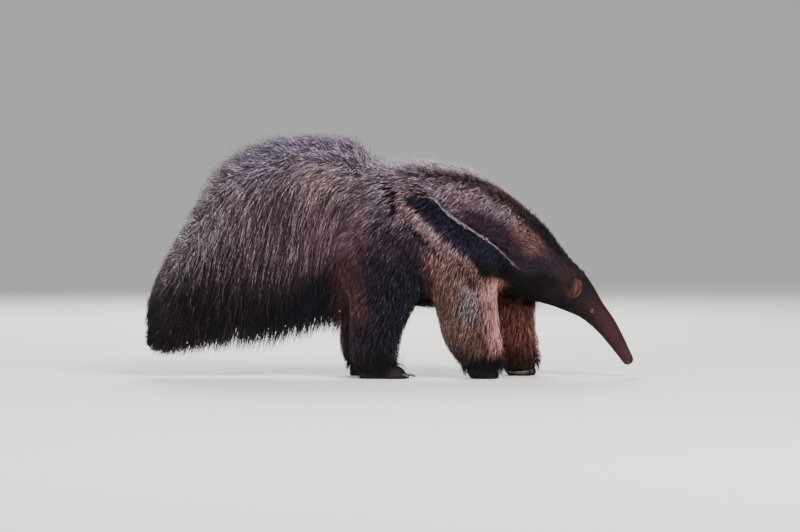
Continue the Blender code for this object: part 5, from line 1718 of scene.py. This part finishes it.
class ANTEATER_OT_tail(bpy.types.Operator):
    """Grows the plume of the tail"""

    bl_idname = "anteater.tail"
    bl_label = "Plume"

    def execute(self, context):
        setting, draw, ground = prepare(context, 1)
        count = setting.tail_tufts
        kind = draw.random(count)
        fringe = -1 + FRINGE_REACH * draw.random(count) ** 1.6
        high = np.where(kind < FRINGE_SHARE, fringe, draw.uniform(-0.85, 1, count))
        high = np.where(kind > 1 - CREST_SHARE, 1 - CREST_REACH * draw.random(count) ** 1.3, high)
        full = draw.random(count) < FULL_SHARE
        reach = np.where(full, draw.uniform(0.94, 1.02, count), draw.uniform(0.60, 0.95, count))
        within = draw.random(count) < 0.30 + 0.35 * smooth(0.5, 0.9, high)
        spread = np.where(within, draw.uniform(0, 1, count), 1)
        grid = np.linspace(PLUME[-1][0], -0.015, 200)
        tall = stations(PLUME, plume_place(grid))
        reach = reach + 0.06 * smooth(-0.55, -1, high) + 0.025 * smooth(0.55, 1, high)
        share = tall[:, 1] - tall[:, 2] + 0.12 + 0.40 * smooth(-0.66, -0.76, grid)
        xs = np.interp(draw.random(count), np.cumsum(share) / share.sum(), grid)
        width = setting.tail_width * draw.uniform(0.6, 1.15, count)
        self.grow("coat_tail", ground, draw, xs, high, reach, spread, width, wave=0.013, pull=0.20)
        count = setting.stray_tufts // 2
        xs = draw.uniform(*WISP_SPAN, count)
        high, reach, spread, width = (draw.uniform(low, top, count) for low, top in WISP_RANGES)
        self.grow("coat_wisps", ground, draw, xs, high, reach, spread, width, wave=0.030, pull=0.0)
        return {"FINISHED"}

    @staticmethod
    def grow(name, ground, draw, xs, high, reach, spread, width, wave, pull):
        """Tufts from the flesh of the tail, spreading to the plume's outer faces."""
        count = len(xs)
        tip = plume_place(xs)
        back = np.interp(high, *ROOT_BACK) * draw.uniform(0.8, 1.3, count)
        shift = np.interp(high, *ROOT_SHIFT)
        start = np.clip(high + shift * draw.uniform(0.8, 1.2, count), -0.92, 0.92)
        side = np.where(draw.random(count) < 0.5, 1.0, -1.0)
        root = np.clip(tip - back - smooth(10.4, 13, tip) * 1.8, 0, PLUME_CORE_END - 0.15)
        core, _ = core_reach(root)
        phase = draw.uniform(0, 2 * np.pi, count)
        wave = wave * draw.uniform(0.5, 1.5, count)
        paths = []
        for t in (0, 0.38, 0.73, 1.0):
            level = start + (high - start) * t**1.3
            out = core * 0.92 + (reach - core * 0.92) * (1 - (1 - t) ** 2.4)
            point = plume_points(root + (tip - root) * t**1.2, out * level,
                                 side * spread * out * np.sqrt(1 - np.clip(level, -1, 1) ** 2))
            point[:, 0] += wave * t * np.sin(phase + 9 * t)
            point[:, 2] += wave * t * np.cos(phase + 8 * t) * 0.7
            paths.append(point)
        paths = np.stack(paths, 1)
        paths[:, :, 2] -= PLUME_PRESS * np.maximum(0, paths[:, :, 2] - max(row[1] for row in PLUME))
        outs = np.stack([unit(columns(0, side, 0.2 * high))] * paths.shape[1], 1)
        marks = markings(paths[:, 2] + columns(0, 0, draw.normal(0, PLUME_JITTER, count)))
        spot = map_at(ground, paths[:, 0])
        tufts(name, paths, outs, width, (0.5, 1, 0.85), marks, spot, draw, together=6, pull=pull)


class ANTEATER_PT_panel(bpy.types.Panel):
    """Lists the steps in their order"""

    bl_idname = "ANTEATER_PT_panel"
    bl_label = "Giant anteater"
    bl_space_type = "VIEW_3D"
    bl_region_type = "UI"
    bl_category = "Anteater"

    def draw(self, context):
        for group in (context.scene.anteater_coat, context.scene.anteater_stage):
            for name in group.__annotations__:
                self.layout.prop(group, name)
        for step in STEPS:
            self.layout.operator(step)


OPERATORS = (ANTEATER_OT_stage, ANTEATER_OT_skin, ANTEATER_OT_eyes, ANTEATER_OT_claws, ANTEATER_OT_coat,
             ANTEATER_OT_mane, ANTEATER_OT_short_coat, ANTEATER_OT_tail)
STEPS = tuple(made.bl_idname for made in OPERATORS)
CLASSES = (AnteaterCoat, AnteaterStage, *OPERATORS, ANTEATER_PT_panel)


def register():
    for made in CLASSES:
        bpy.utils.register_class(made)
    bpy.types.Scene.anteater_coat = PointerProperty(type=AnteaterCoat)
    bpy.types.Scene.anteater_stage = PointerProperty(type=AnteaterStage)


def unregister():
    del bpy.types.Scene.anteater_stage
    del bpy.types.Scene.anteater_coat
    for made in reversed(CLASSES):
        bpy.utils.unregister_class(made)


def main():
    register()
    for step in STEPS:
        group, name = step.split(".")
        getattr(getattr(bpy.ops, group), name)()
    bpy.ops.object.select_all(action="DESELECT")


if __name__ == "__main__":
    main()
